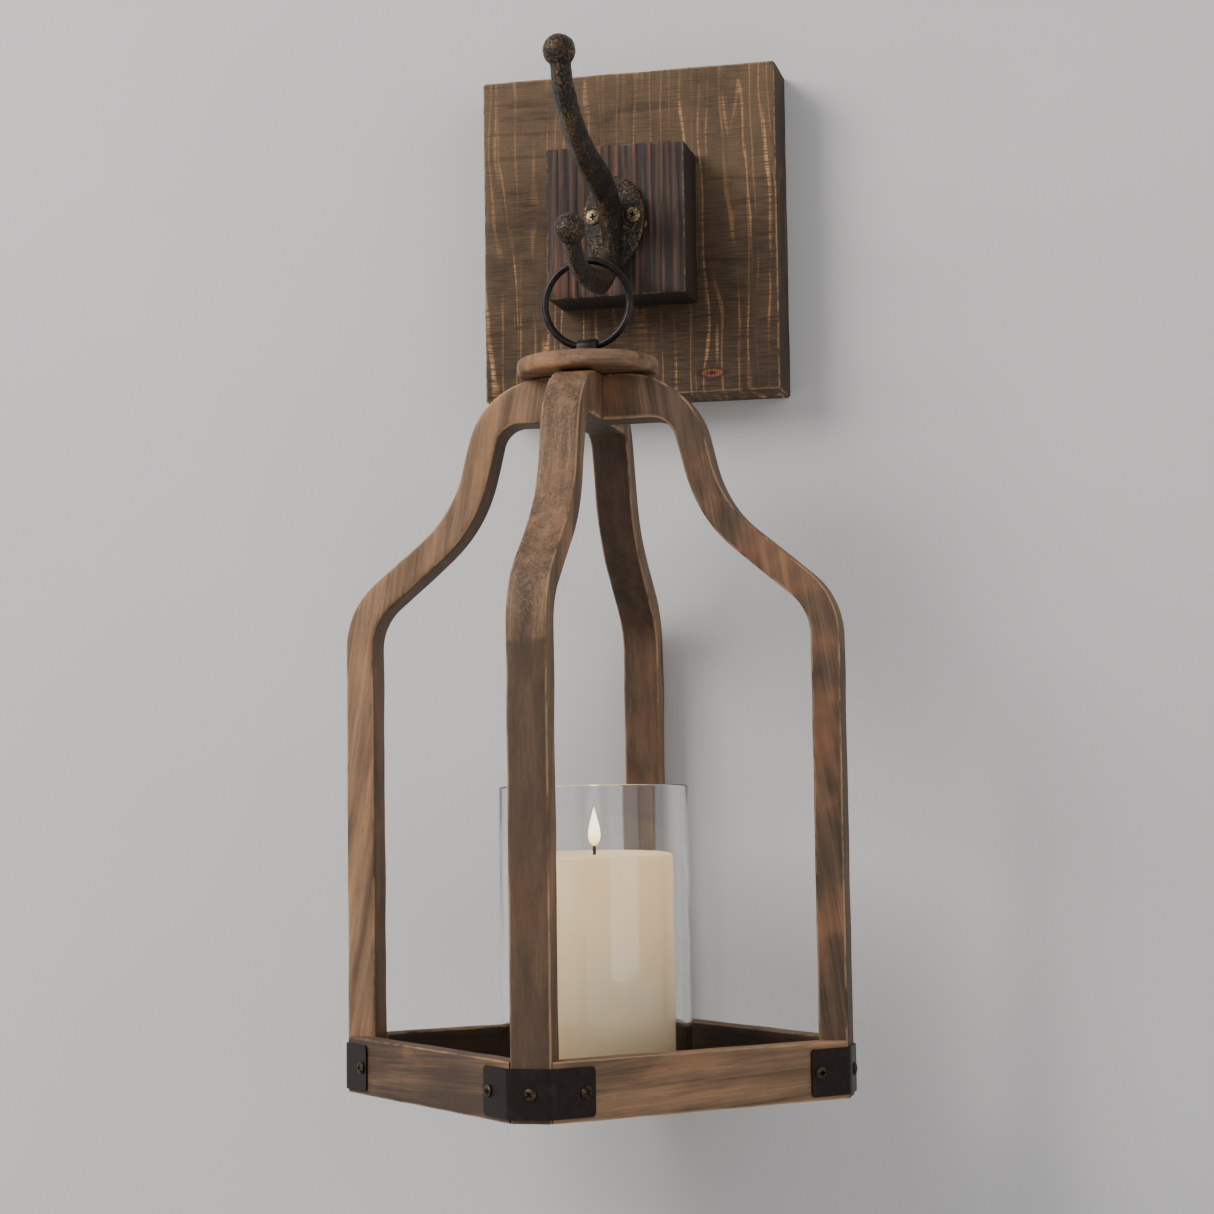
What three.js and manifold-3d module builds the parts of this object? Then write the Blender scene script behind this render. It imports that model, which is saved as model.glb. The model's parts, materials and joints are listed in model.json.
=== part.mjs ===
// Wall sconce candle holder: a wooden lantern that hangs by a steel ring from a cast iron
// coat hook on a square board. Millimetres, +Z up. The origin is the centre of the board's back
// face, the wall is the plane y = 0, and the sconce stands out from it towards -Y.

import * as THREE from 'three';
import { mergeVertices } from 'three/addons/utils/BufferGeometryUtils.js';
import Module from 'manifold-3d';

const wasm = await Module();
wasm.setup();

// ---------------------------------------------------------------- driving dimensions

const GAP = 0.3; // clearance left between pieces that touch

const BOARD = { width: 160, height: 175, thick: 34 };
const BLOCK = { width: 74, height: 80, thick: 32 };

const PLATE = { halfWidth: 16.5, top: 22.5, bottom: -28.6, thick: 4 };
const UPPER_BALL = { reach: 180, z: 57, radius: 8 };
const LOWER_BALL = { reach: 163.5, z: -26, radius: 7.7 };
const SADDLE = { z: -42.3, radius: 5.4 }; // lowest point of the lower prong's centre line

const RING = { radius: 21.6, wire: 1.85 };

const BASE = { side: 188, height: 27, rail: 10 };
const LEG = { width: 19, thick: 14, straight: 218, lean: 50, neck: 14 }; // angles from upright
const SHOULDER = 40; // outer radius of the leg's shoulder
const SLOPE = 34.4; // straight run from shoulder to waist
const WAIST = 60; // outer radius of the bend back at the leg's waist
const NECK = { outside: 15.3, inside: 18.65 }; // straight runs from waist to head
const CROWN = { outside: 42, inside: 12 }; // radii of the bend at the leg's head
const CAP = { radius: 35, thick: 8.5 };
const PANEL = { thick: 5, z: 3.3, tongue: 3 };
const STRAP = { thick: 1, height: 22, z: 2, flange: 22 };
const BOW = { width: 10, inner: 2.6, rise: 6.55, thick: 1.2, foot: 9 }; // rise: cap's top to the ring's wire

const GLASS = { radius: 46.2, wall: 2.8, bottom: 3.5, height: 139.5 };
const CANDLE = { radius: 38.1, height: 101.6, edge: 1.6, dish: 1.2 };
const WICK = { radius: 0.9, length: 30, above: 11 };

const WALL_CLEARANCE = 6; // from the back leg's outer face to the wall

// ---------------------------------------------------------------- derived places

const cornerRadius = BASE.side / Math.SQRT2;
const legOuter = cornerRadius - LEG.width / 2;
const legInner = legOuter - LEG.thick;
const reach = legOuter + WALL_CLEARANCE; // from the wall to the lantern's axis
const boardFace = -BOARD.thick;
const blockFace = boardFace - GAP - BLOCK.thick;
const plateFace = blockFace - GAP - PLATE.thick;
const ringTop = SADDLE.z + SADDLE.radius + GAP + RING.wire;
const ringCentre = ringTop - RING.radius;
const ringBottom = ringCentre - RING.radius;
const capTop = ringBottom - BOW.rise;

// ---------------------------------------------------------------- materials

const finish = (color, roughness, metalness = 0) => new THREE.MeshStandardMaterial({ color, roughness, metalness });

const darkWood = finish(0x4a3526, 0.85);
const redWood = finish(0x4e3129, 0.8);
const lanternWood = finish(0x7d5c42, 0.75);
const castIron = finish(0x2c231c, 0.6, 0.6);
const darkSteel = finish(0x2b2422, 0.5, 0.7);
const screwSteel = finish(0x8a8378, 0.4, 0.8);
const blackSteel = finish(0x2a2522, 0.45, 0.8);
const clearGlass = finish(0xe8efef, 0.05);
const wax = finish(0xe6d3b0, 0.55);
const charredCotton = finish(0x1b1714, 0.95);

// ---------------------------------------------------------------- solids

function toSolid(geometry) {
  const plain = geometry.clone();
  plain.deleteAttribute('normal');
  plain.deleteAttribute('uv');
  const merged = mergeVertices(plain, 1e-4);
  const vertProperties = new Float32Array(merged.attributes.position.array);
  const triVerts = new Uint32Array(merged.index.array);
  return new wasm.Manifold(new wasm.Mesh({ numProp: 3, vertProperties, triVerts }));
}

function toGeometry(solid) {
  const mesh = solid.getMesh();
  const geometry = new THREE.BufferGeometry();
  geometry.setAttribute('position', new THREE.BufferAttribute(mesh.vertProperties, 3));
  geometry.setIndex(new THREE.BufferAttribute(mesh.triVerts, 1));
  return geometry;
}

function cut(geometry, ...tools) {
  let solid = toSolid(geometry);
  for (const tool of tools) solid = solid.subtract(toSolid(tool));
  return toGeometry(solid);
}

function join(geometry, ...others) {
  let solid = toSolid(geometry);
  for (const other of others) solid = solid.add(toSolid(other));
  return toGeometry(solid);
}

function box(width, depth, height, x, y, z) {
  return new THREE.BoxGeometry(width, depth, height).translate(x, y, z);
}

// Turns a shape drawn in x and y, and extruded along z, so that it is drawn in x and z and runs
// along y, centred on y = 0.
function uprightPlate(shape, thick, curveSegments = 12) {
  const plate = new THREE.ExtrudeGeometry(shape, { depth: thick, bevelEnabled: false, curveSegments });
  return plate.translate(0, 0, -thick / 2).rotateX(Math.PI / 2);
}

// A slab whose outline is drawn in plan.
function flatPlate(points, thick) {
  const shape = new THREE.Shape(points.map(([x, y]) => new THREE.Vector2(x, y)));
  return new THREE.ExtrudeGeometry(shape, { depth: thick, bevelEnabled: false });
}

// A turned piece: the profile is a list of [radius, height], and the axis is +Z.
function turned(profile, segments) {
  const points = profile.map(([r, h]) => new THREE.Vector2(r, h));
  return new THREE.LatheGeometry(points, segments).rotateX(Math.PI / 2);
}

function placed(geometry, name, material) {
  const mesh = new THREE.Mesh(geometry, material);
  mesh.name = name;
  return mesh;
}

// ---------------------------------------------------------------- screws
// Each screw lies along +Z with the underside of its head, or the top of a flush head, at z = 0,
// and its shank goes down. Its hole is the same profile grown by the gap.

const SCREW_SIDES = 10;

function domeScrew({ head, rise, shank, length }) {
  return turned([[0, -length], [shank, -length + shank], [shank, 0], [head, 0],
    [head * 0.93, rise * 0.55], [head * 0.55, rise], [0, rise]], SCREW_SIDES);
}

function flushScrew({ head, shank, length }) {
  return turned([[0, -length], [shank, -length + shank], [shank, shank - head],
    [head, 0], [0, 0]], SCREW_SIDES);
}

function straightHole({ shank, length }) {
  const r = shank + GAP;
  return turned([[0, -length - GAP], [r, -length - GAP], [r, 5], [0, 5]], SCREW_SIDES);
}

function flushHole({ head, shank, length }) {
  const r = shank + GAP;
  return turned([[0, -length - GAP], [r, -length - GAP], [r, shank - head - GAP],
    [head + GAP, 0], [head + GAP, 5], [0, 5]], SCREW_SIDES);
}

// Points a screw or a hole along a direction and moves it to its place.
function aimed(geometry, direction, place) {
  const turn = new THREE.Quaternion().setFromUnitVectors(new THREE.Vector3(0, 0, 1), direction.clone().normalize());
  return geometry.clone().applyQuaternion(turn).translate(place.x, place.y, place.z);
}

const v = (x, y, z) => new THREE.Vector3(x, y, z);

const OUTWARD = v(0, -1, 0);
const WALLWARD = v(0, 1, 0);
const UP = v(0, 0, 1);

const BLOCK_SCREW = { head: 4, shank: 2, length: 48 };
const HOOK_SCREW = { head: 4, rise: 1.6, shank: 1.9, length: 22 };
const HANGER_SCREW = { head: 2.6, shank: 1.3, length: 12 };
const CAP_SCREW = { head: 3.4, shank: 1.6, length: 20 };
const BOW_SCREW = { head: 2.8, rise: 1.4, shank: 1.2, length: 7 };
const RAIL_SCREW = { head: 2.7, rise: 1.5, shank: 1.3, length: 8.5 };
const LEG_SCREW = { head: 2.7, rise: 1.5, shank: 1.3, length: 12 };

// ---------------------------------------------------------------- wall board and block

const sconce = new THREE.Group();

const BLOCK_SCREW_PLACES = [[-24, -26], [24, -26], [-24, 26], [24, 26]];
const SCREW_SINK = 0.5; // the screws in the back of the board sit this far in
const HANGER = { width: 15, height: 40, thick: 1.8, x: 52, z: 58, screwPitch: 32, eye: 4.6, slot: 2.2 };

const blockScrewPlaces = BLOCK_SCREW_PLACES.map(([x, z]) => v(x, -SCREW_SINK, z));
const hangerSides = [['left', -1], ['right', 1]];

function hangerScrewPlaces(side) {
  const half = HANGER.screwPitch / 2;
  return [['upper', half], ['lower', -half]].map(([name, dz]) => [name, v(side * HANGER.x, -SCREW_SINK, HANGER.z + dz)]);
}

function backboard() {
  const board = box(BOARD.width, BOARD.thick, BOARD.height, 0, -BOARD.thick / 2, 0);
  const holes = blockScrewPlaces.map((place) => aimed(flushHole(BLOCK_SCREW), WALLWARD, place));
  for (const [, side] of hangerSides) {
    const x = side * HANGER.x;
    const recess = HANGER.thick + SCREW_SINK + GAP;
    holes.push(box(HANGER.width + 2 * GAP, 2 * recess, HANGER.height + 2 * GAP, x, 0, HANGER.z));
    holes.push(box(10, 2 * 10, 22, x, 0, HANGER.z)); // room for the head of the wall screw
    for (const [, place] of hangerScrewPlaces(side)) holes.push(aimed(straightHole(HANGER_SCREW), WALLWARD, place));
  }
  return cut(board, ...holes);
}

// A steel plate with a keyhole: a round eye for a screw head and a narrow slot above it.
function keyholeHanger(side) {
  const { width, height, thick, eye, slot, z } = HANGER;
  const outline = new THREE.Shape([v(-width / 2, -height / 2), v(width / 2, -height / 2),
    v(width / 2, height / 2), v(-width / 2, height / 2)].map((p) => new THREE.Vector2(p.x, p.y)));
  const tilt = Math.asin(slot / eye);
  const keyhole = new THREE.Path();
  keyhole.absarc(0, -4, eye, Math.PI / 2 - tilt, Math.PI / 2 + tilt, true);
  keyhole.absarc(0, 7, slot, Math.PI, 0, true);
  outline.holes.push(keyhole);
  const plate = uprightPlate(outline, thick, 8).translate(side * HANGER.x, -SCREW_SINK - thick / 2, z);
  return cut(plate, ...hangerScrewPlaces(side).map(([, place]) => aimed(flushHole(HANGER_SCREW), WALLWARD, place)));
}

sconce.add(placed(backboard(), 'backboard', darkWood));

for (const [name, side] of hangerSides) {
  sconce.add(placed(keyholeHanger(side), `keyhole_hanger_${name}`, screwSteel));
  for (const [level, place] of hangerScrewPlaces(side)) {
    const screw = aimed(flushScrew(HANGER_SCREW), WALLWARD, place);
    sconce.add(placed(screw, `hanger_screw_${name}_${level}`, screwSteel));
  }
}

const HOOK_SCREW_PLACES = [['left', -10.5], ['right', 10.5]];
const HOOK_SCREW_Z = 1;

function mountingBlock() {
  const block = box(BLOCK.width, BLOCK.thick, BLOCK.height, 0, blockFace + BLOCK.thick / 2, 0);
  const holes = blockScrewPlaces.map((place) => aimed(straightHole(BLOCK_SCREW), WALLWARD, place));
  for (const [, x] of HOOK_SCREW_PLACES) {
    holes.push(aimed(straightHole(HOOK_SCREW), OUTWARD, v(x, plateFace, HOOK_SCREW_Z)));
  }
  return cut(block, ...holes);
}

sconce.add(placed(mountingBlock(), 'mounting_block', redWood));

blockScrewPlaces.forEach((place, i) => {
  sconce.add(placed(aimed(flushScrew(BLOCK_SCREW), WALLWARD, place), `block_screw_${i + 1}`, screwSteel));
});

// ---------------------------------------------------------------- cast iron hook
// The plate is an upright leaf with a pointed foot. Both prongs lie in the plane x = 0 and thin
// out towards the balls at their ends.

function prong(points, startRadius, endRadius) {
  const path = new THREE.CatmullRomCurve3(points.map(([y, z]) => v(0, y, z)), false, 'centripetal');
  const steps = 28;
  const circle = new THREE.Shape().absarc(0, 0, 1, 0, Math.PI * 2);
  const tube = new THREE.ExtrudeGeometry(circle, { steps, extrudePath: path, bevelEnabled: false, curveSegments: 7 });
  const centres = path.getSpacedPoints(steps);
  const position = tube.attributes.position;
  const point = new THREE.Vector3();
  for (let i = 0; i < position.count; i += 1) {
    point.fromBufferAttribute(position, i);
    const nearest = centres.reduce((best, c, j) => (c.distanceTo(point) < centres[best].distanceTo(point) ? j : best), 0);
    const radius = THREE.MathUtils.lerp(startRadius, endRadius, nearest / steps);
    point.sub(centres[nearest]).multiplyScalar(radius).add(centres[nearest]);
    position.setXYZ(i, point.x, point.y, point.z);
  }
  return tube;
}

function coatHook() {
  const { halfWidth, top, bottom, thick } = PLATE;
  const leaf = new THREE.Shape();
  leaf.moveTo(0, bottom);
  leaf.bezierCurveTo(7, bottom + 4, halfWidth, -16, halfWidth, 2);
  leaf.bezierCurveTo(halfWidth, 14, 8, top, 0, top);
  leaf.bezierCurveTo(-8, top, -halfWidth, 14, -halfWidth, 2);
  leaf.bezierCurveTo(-halfWidth, -16, -7, bottom + 4, 0, bottom);
  const plate = uprightPlate(leaf, thick, 8).translate(0, plateFace + thick / 2, 0);
  const root = plateFace + thick - 1;
  const upper = prong([[root, 3], [plateFace - 9, 8], [-102, 13.5], [-133, 18.5], [-156, 27],
    [-171, 38.5], [-178, 50], [-UPPER_BALL.reach, UPPER_BALL.z]], 9, 4.3);
  const lower = prong([[root, -14], [-78, -25], [-90, -34.5], [-108, -40.6], [-reach, SADDLE.z],
    [-147, -41], [-158, -34.5], [-LOWER_BALL.reach, LOWER_BALL.z]], 7.2, 3.9);
  const ridge = prong([[root, top - 8], [plateFace - 2.5, 8], [plateFace - 3, -6], [plateFace - 3.5, -16],
    [plateFace - 5, -22]], 5.5, 5.5);
  const ball = ({ reach: out, z, radius }) => new THREE.SphereGeometry(radius, 18, 12).translate(0, -out, z);
  const casting = toSolid(join(plate, upper, lower, ridge, ball(UPPER_BALL), ball(LOWER_BALL)));
  const behind = toSolid(box(60, 20, 80, 0, blockFace - GAP + 10, 0)); // keeps the back of the plate flat
  const seats = HOOK_SCREW_PLACES.map(([, x]) => {
    const spot = turned([[0, 0], [HOOK_SCREW.head + 0.6, 0], [HOOK_SCREW.head + 0.6, 12], [0, 12]], 14);
    return aimed(spot, OUTWARD, v(x, plateFace + GAP - 0.1, HOOK_SCREW_Z));
  });
  const holes = HOOK_SCREW_PLACES.map(([, x]) => aimed(straightHole(HOOK_SCREW), OUTWARD, v(x, plateFace, HOOK_SCREW_Z)));
  return cut(toGeometry(casting.subtract(behind)), ...seats, ...holes);
}

sconce.add(placed(coatHook(), 'coat_hook', castIron));

for (const [name, x] of HOOK_SCREW_PLACES) {
  const place = v(x, plateFace - 0.1, HOOK_SCREW_Z);
  sconce.add(placed(aimed(domeScrew(HOOK_SCREW), OUTWARD, place), `hook_screw_${name}`, screwSteel));
}

// ---------------------------------------------------------------- ring

const ring = new THREE.TorusGeometry(RING.radius, RING.wire, 10, 48).rotateX(Math.PI / 2);
ring.translate(0, -reach, ringCentre);
sconce.add(placed(ring, 'hanging_ring', blackSteel));

// ---------------------------------------------------------------- lantern
// Its group stands on z = 0, the underside of the base, with its corners along X and Y.

// Draws a side of the leg: straight runs and arcs that follow each other without a kink.
class Pen {
  constructor(r, z) {
    this.points = [new THREE.Vector2(r, z)];
    this.heading = Math.PI / 2;
  }

  forward(length) {
    const last = this.points.at(-1);
    this.points.push(new THREE.Vector2(last.x + length * Math.cos(this.heading), last.y + length * Math.sin(this.heading)));
  }

  turn(radius, degrees) {
    const segments = Math.ceil(Math.abs(degrees) / 7.5);
    const step = THREE.MathUtils.degToRad(degrees) / segments;
    for (let i = 0; i < segments; i += 1) {
      this.heading += step / 2;
      this.forward(2 * radius * Math.sin(Math.abs(step) / 2));
      this.heading += step / 2;
    }
  }
}


function legProfile() {
  const outside = new Pen(legOuter, 0);
  outside.forward(LEG.straight);
  outside.turn(SHOULDER, LEG.lean);
  outside.forward(SLOPE);
  outside.turn(WAIST, LEG.neck - LEG.lean);
  outside.forward(NECK.outside);
  outside.turn(CROWN.outside, 90 - LEG.neck);
  outside.forward(outside.points.at(-1).x);

  const inside = new Pen(legInner, 0);
  inside.forward(LEG.straight);
  inside.turn(SHOULDER - LEG.thick, LEG.lean);
  inside.forward(SLOPE);
  inside.turn(WAIST + LEG.thick, LEG.neck - LEG.lean);
  inside.forward(NECK.inside);
  inside.turn(CROWN.inside, 90 - LEG.neck);
  inside.forward(inside.points.at(-1).x);
  return { outline: [...outside.points, ...inside.points.reverse()], top: outside.points.at(-1).y };
}

const profile = legProfile();
const capUnder = profile.top + GAP;
const lanternFoot = capTop - CAP.thick - capUnder;

const lantern = new THREE.Group();
lantern.position.set(0, -reach, lanternFoot);

const CORNERS = [['front', -90], ['right', 0], ['back', 90], ['left', 180]];
const CAP_SCREW_RADIUS = 24;
const SCREW_Z = STRAP.z + STRAP.height / 2;

const turnZ = (geometry, degrees) => geometry.clone().rotateZ(THREE.MathUtils.degToRad(degrees));

// The leg on the +X side, sawn from one plank. Its head ends in a point that meets the other
// three on the axis.
function leg() {
  const body = uprightPlate(new THREE.Shape(profile.outline), LEG.width);
  const mitres = [-1, 1].map((side) => {
    const block = box(80, 40, 60, 0, side * (20 - GAP / 2), profile.top - 20);
    return block.applyMatrix4(new THREE.Matrix4().makeRotationZ(side * Math.PI / 4));
  });
  const behind = box(60, 40, 60, -30, 0, profile.top - 20);
  const capHole = aimed(straightHole(CAP_SCREW), UP, v(CAP_SCREW_RADIUS, 0, capUnder + CAP.thick - SCREW_SINK));
  const strapHole = aimed(straightHole(LEG_SCREW), v(1, 0, 0), v(legOuter + GAP + STRAP.thick, 0, SCREW_Z));
  return cut(body, ...mitres, behind, capHole, strapHole);
}

const legSolid = leg();
for (const [name, angle] of CORNERS) {
  lantern.add(placed(turnZ(legSolid, angle), `leg_${name}`, lanternWood));
}

// The base's sides face the four quarters between the corners.
const SIDES = [['front_right', -45], ['back_right', 45], ['back_left', 135], ['front_left', -135]];
const railEnd = BASE.side / 2 - (LEG.width / 2 + GAP) * Math.SQRT2; // half the rail's outer length
const flangeScrew = railEnd - STRAP.flange + 5.5;
const railFace = BASE.side / 2;

// The rail on the +X side, mitred to the sides of the legs, with a groove for the floor panel.
function rail() {
  const inner = railEnd - BASE.rail;
  const bar = flatPlate([[railFace, -railEnd], [railFace, railEnd],
    [railFace - BASE.rail, inner], [railFace - BASE.rail, -inner]], BASE.height);
  const depth = PANEL.tongue + GAP;
  const grooveX = railFace - BASE.rail + depth / 2 - 1;
  const groove = box(depth + 2, BASE.side, PANEL.thick + 2 * GAP, grooveX, 0, PANEL.z + PANEL.thick / 2);
  const holes = [-1, 1].map((side) => aimed(straightHole(RAIL_SCREW), v(1, 0, 0),
    v(railFace + GAP + STRAP.thick, side * flangeScrew, SCREW_Z)));
  return cut(bar, groove, ...holes);
}

const railSolid = rail();
for (const [name, angle] of SIDES) {
  lantern.add(placed(turnZ(railSolid, angle), `rail_${name}`, lanternWood));
}

// A square floor with its corners cut off in front of the legs.
function basePanel() {
  const half = railFace - BASE.rail + PANEL.tongue;
  const cornerCut = (legInner - GAP) * Math.SQRT2 - half;
  const points = [];
  for (let quarter = 0; quarter < 4; quarter += 1) {
    const turn = Math.PI / 4 + quarter * Math.PI / 2;
    for (const along of [-cornerCut, cornerCut]) {
      points.push([half * Math.cos(turn) - along * Math.sin(turn), half * Math.sin(turn) + along * Math.cos(turn)]);
    }
  }
  return flatPlate(points, PANEL.thick).translate(0, 0, PANEL.z);
}

lantern.add(placed(basePanel(), 'base_panel', lanternWood));

// The folded steel strap on the +X corner: a middle face over the leg, and a flange on each rail.
function cornerBracket() {
  const corner = LEG.width / 2;
  const side = (offset) => {
    const bend = corner + offset * Math.tan(Math.PI / 8);
    const along = (STRAP.flange + offset * Math.tan(Math.PI / 8)) / Math.SQRT2;
    return [[legOuter + offset - along, -bend - along], [legOuter + offset, -bend],
      [legOuter + offset, bend], [legOuter + offset - along, bend + along]];
  };
  const strap = flatPlate([...side(GAP + STRAP.thick), ...side(GAP).reverse()], STRAP.height).translate(0, 0, STRAP.z);
  const middle = aimed(straightHole(LEG_SCREW), v(1, 0, 0), v(legOuter + GAP + STRAP.thick, 0, SCREW_Z));
  const flanges = [-1, 1].map((hand) => turnZ(aimed(straightHole(RAIL_SCREW), v(1, 0, 0),
    v(railFace + GAP + STRAP.thick, -hand * flangeScrew, SCREW_Z)), hand * 45));
  return cut(strap, middle, ...flanges);
}

const bracketSolid = cornerBracket();
const screwFace = GAP + STRAP.thick + 0.1;
const middleScrew = aimed(domeScrew(LEG_SCREW), v(1, 0, 0), v(legOuter + screwFace, 0, SCREW_Z));
for (const [name, angle] of CORNERS) {
  lantern.add(placed(turnZ(bracketSolid, angle), `corner_bracket_${name}`, darkSteel));
  lantern.add(placed(turnZ(middleScrew, angle), `bracket_screw_${name}_middle`, screwSteel));
  for (const [hand, side] of [['a', -1], ['b', 1]]) {
    const screw = aimed(domeScrew(RAIL_SCREW), v(1, 0, 0), v(railFace + screwFace, -side * flangeScrew, SCREW_Z));
    lantern.add(placed(turnZ(screw, angle + side * 45), `bracket_screw_${name}_${hand}`, screwSteel));
  }
}

// ---------------------------------------------------------------- cap and ring saddle

function capDisc() {
  const { radius, thick } = CAP;
  const disc = turned([[0, 0], [radius - 1.5, 0], [radius - 0.4, 0.6], [radius, 2.2], [radius, thick - 3.2],
    [radius - 0.9, thick - 1.2], [radius - 3, thick], [0, thick]], 48).translate(0, 0, capUnder);
  const top = capUnder + thick;
  const holes = CORNERS.map(([, angle]) => turnZ(aimed(flushHole(CAP_SCREW), UP, v(CAP_SCREW_RADIUS, 0, top - SCREW_SINK)), angle));
  const bowHoles = [-1, 1].map((side) => aimed(straightHole(BOW_SCREW), UP, v(0, side * BOW.foot, top + GAP + BOW.thick)));
  return cut(disc, ...holes, ...bowHoles);
}

const capFace = capUnder + CAP.thick;
lantern.add(placed(capDisc(), 'cap_disc', lanternWood));
for (const [name, angle] of CORNERS) {
  const screw = aimed(flushScrew(CAP_SCREW), UP, v(CAP_SCREW_RADIUS, 0, capFace - SCREW_SINK));
  lantern.add(placed(turnZ(screw, angle), `cap_screw_${name}`, screwSteel));
}

// A strap bent over the ring's wire, with a foot in front and one behind.
function ringSaddle() {
  const { inner, thick, width, foot } = BOW;
  const wire = ringBottom - lanternFoot;
  const low = capFace + GAP;
  const outer = inner + thick;
  const end = foot + 3.6;
  const bow = new THREE.Shape();
  bow.moveTo(-end, low);
  bow.lineTo(-inner, low);
  bow.lineTo(-inner, wire);
  bow.absarc(0, wire, inner, Math.PI, 0, true);
  bow.lineTo(inner, low);
  bow.lineTo(end, low);
  bow.lineTo(end, low + thick);
  bow.lineTo(outer, low + thick);
  bow.lineTo(outer, wire);
  bow.absarc(0, wire, outer, 0, Math.PI, false);
  bow.lineTo(-outer, low + thick);
  bow.lineTo(-end, low + thick);
  const strap = uprightPlate(bow, width, 8).rotateZ(Math.PI / 2);
  const holes = [-1, 1].map((side) => aimed(straightHole(BOW_SCREW), UP, v(0, side * foot, low + thick)));
  return cut(strap, ...holes);
}

lantern.add(placed(ringSaddle(), 'ring_saddle', blackSteel));
for (const [name, side] of [['front', -1], ['back', 1]]) {
  const screw = aimed(domeScrew(BOW_SCREW), UP, v(0, side * BOW.foot, capFace + GAP + BOW.thick + 0.1));
  lantern.add(placed(screw, `saddle_screw_${name}`, screwSteel));
}

// ---------------------------------------------------------------- glass, candle and wick

const glassFoot = PANEL.z + PANEL.thick + GAP;

function glassCylinder() {
  const { radius, wall, bottom, height } = GLASS;
  const inner = radius - wall;
  return turned([[0, 0], [radius - 2.5, 0], [radius - 0.7, 0.8], [radius, 2.5], [radius, height - 0.9],
    [radius - 0.9, height], [inner + 0.7, height], [inner, height - 0.9], [inner, bottom + 3],
    [inner - 1, bottom + 0.9], [inner - 3, bottom], [0, bottom]], 48).translate(0, 0, glassFoot);
}

lantern.add(placed(glassCylinder(), 'glass_hurricane', clearGlass));

const candleFoot = glassFoot + GLASS.bottom + GAP;
const candleTop = candleFoot + CANDLE.height;

function candle() {
  const { radius, height, edge, dish } = CANDLE;
  const bore = WICK.radius + GAP;
  const wickHole = height - (WICK.length - WICK.above) - GAP;
  return turned([[0, 0], [radius - edge, 0], [radius, edge], [radius, height - edge],
    [radius - edge * 0.3, height - edge * 0.3], [radius - edge, height], [radius - 6, height - dish * 0.4],
    [radius - 16, height - dish], [bore, height - dish], [bore, wickHole], [0, wickHole]], 40)
    .translate(0, 0, candleFoot);
}

lantern.add(placed(candle(), 'candle', wax));

const wick = turned([[0, 0], [WICK.radius, 0], [WICK.radius, WICK.length - 0.8], [0.4, WICK.length], [0, WICK.length]], 8);
wick.translate(0, 0, candleTop + WICK.above - WICK.length);
lantern.add(placed(wick, 'wick', charredCotton));

sconce.add(lantern);

export default sconce;
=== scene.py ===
# Wall sconce candle holder: a wooden lantern with a glass cylinder and a pillar candle, hung by
# a steel ring from a cast iron coat hook that is screwed to a square board.
# The sections follow the sconce from the wall outwards. Sizes are in millimetres, times MM.

import json
import math
import random

import bmesh
import bpy
from mathutils import Matrix, Vector, noise
from mathutils.geometry import interpolate_bezier

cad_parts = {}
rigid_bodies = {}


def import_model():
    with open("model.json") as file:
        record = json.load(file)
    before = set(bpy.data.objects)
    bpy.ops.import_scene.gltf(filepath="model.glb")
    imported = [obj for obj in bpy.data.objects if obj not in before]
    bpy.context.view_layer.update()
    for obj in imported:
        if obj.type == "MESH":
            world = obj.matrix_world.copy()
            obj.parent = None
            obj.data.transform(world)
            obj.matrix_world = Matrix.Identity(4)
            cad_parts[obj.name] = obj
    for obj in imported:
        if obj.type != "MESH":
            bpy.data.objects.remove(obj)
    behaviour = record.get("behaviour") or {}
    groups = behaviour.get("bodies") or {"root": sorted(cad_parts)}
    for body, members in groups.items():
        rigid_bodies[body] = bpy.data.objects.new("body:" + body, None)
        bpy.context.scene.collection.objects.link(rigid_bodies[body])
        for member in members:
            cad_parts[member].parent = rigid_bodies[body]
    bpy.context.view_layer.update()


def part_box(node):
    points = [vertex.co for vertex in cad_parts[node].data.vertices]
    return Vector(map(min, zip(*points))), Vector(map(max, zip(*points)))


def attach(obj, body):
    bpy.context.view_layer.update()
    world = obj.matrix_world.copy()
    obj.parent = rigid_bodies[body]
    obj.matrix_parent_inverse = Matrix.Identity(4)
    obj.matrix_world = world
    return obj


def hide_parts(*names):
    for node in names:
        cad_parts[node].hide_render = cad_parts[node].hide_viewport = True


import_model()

MM = 0.001
chance = random.Random(7)

# ------------------------------------------------------------------------------ the wall board
# A square of rough sawn softwood, stained dark brown and rubbed back, so that the growth rings
# and the saw's score lines show up light. It hangs on two keyhole plates let into its back.


class Wire:
    """An output of a finish's nodes. Arithmetic on it adds Math nodes."""

    def __init__(self, finish, socket):
        self.finish = finish
        self.socket = socket

    def maths(self, operation, *others):
        return self.finish.node("Math", {"operation": operation}, dict(enumerate([self, *others])))

    def __add__(self, other):
        return self.maths("ADD", other)

    def __sub__(self, other):
        return self.maths("SUBTRACT", other)

    def __rsub__(self, other):
        return self * -1 + other

    def __mul__(self, other):
        return self.maths("MULTIPLY", other)

    __radd__ = __add__
    __rmul__ = __mul__

    def rising(self, low, high):
        """0 below low, 1 above high, and smooth between them."""
        ends = {"Value": self, "From Min": low, "From Max": high}
        return self.finish.node("MapRange", {"interpolation_type": "SMOOTHSTEP"}, ends)

    def near(self, value, width, blur):
        """1 within width of a value, fading to 0 over the blur beyond it."""
        return 1 - (self - value).maths("ABSOLUTE").rising(width, width + blur)


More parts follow.
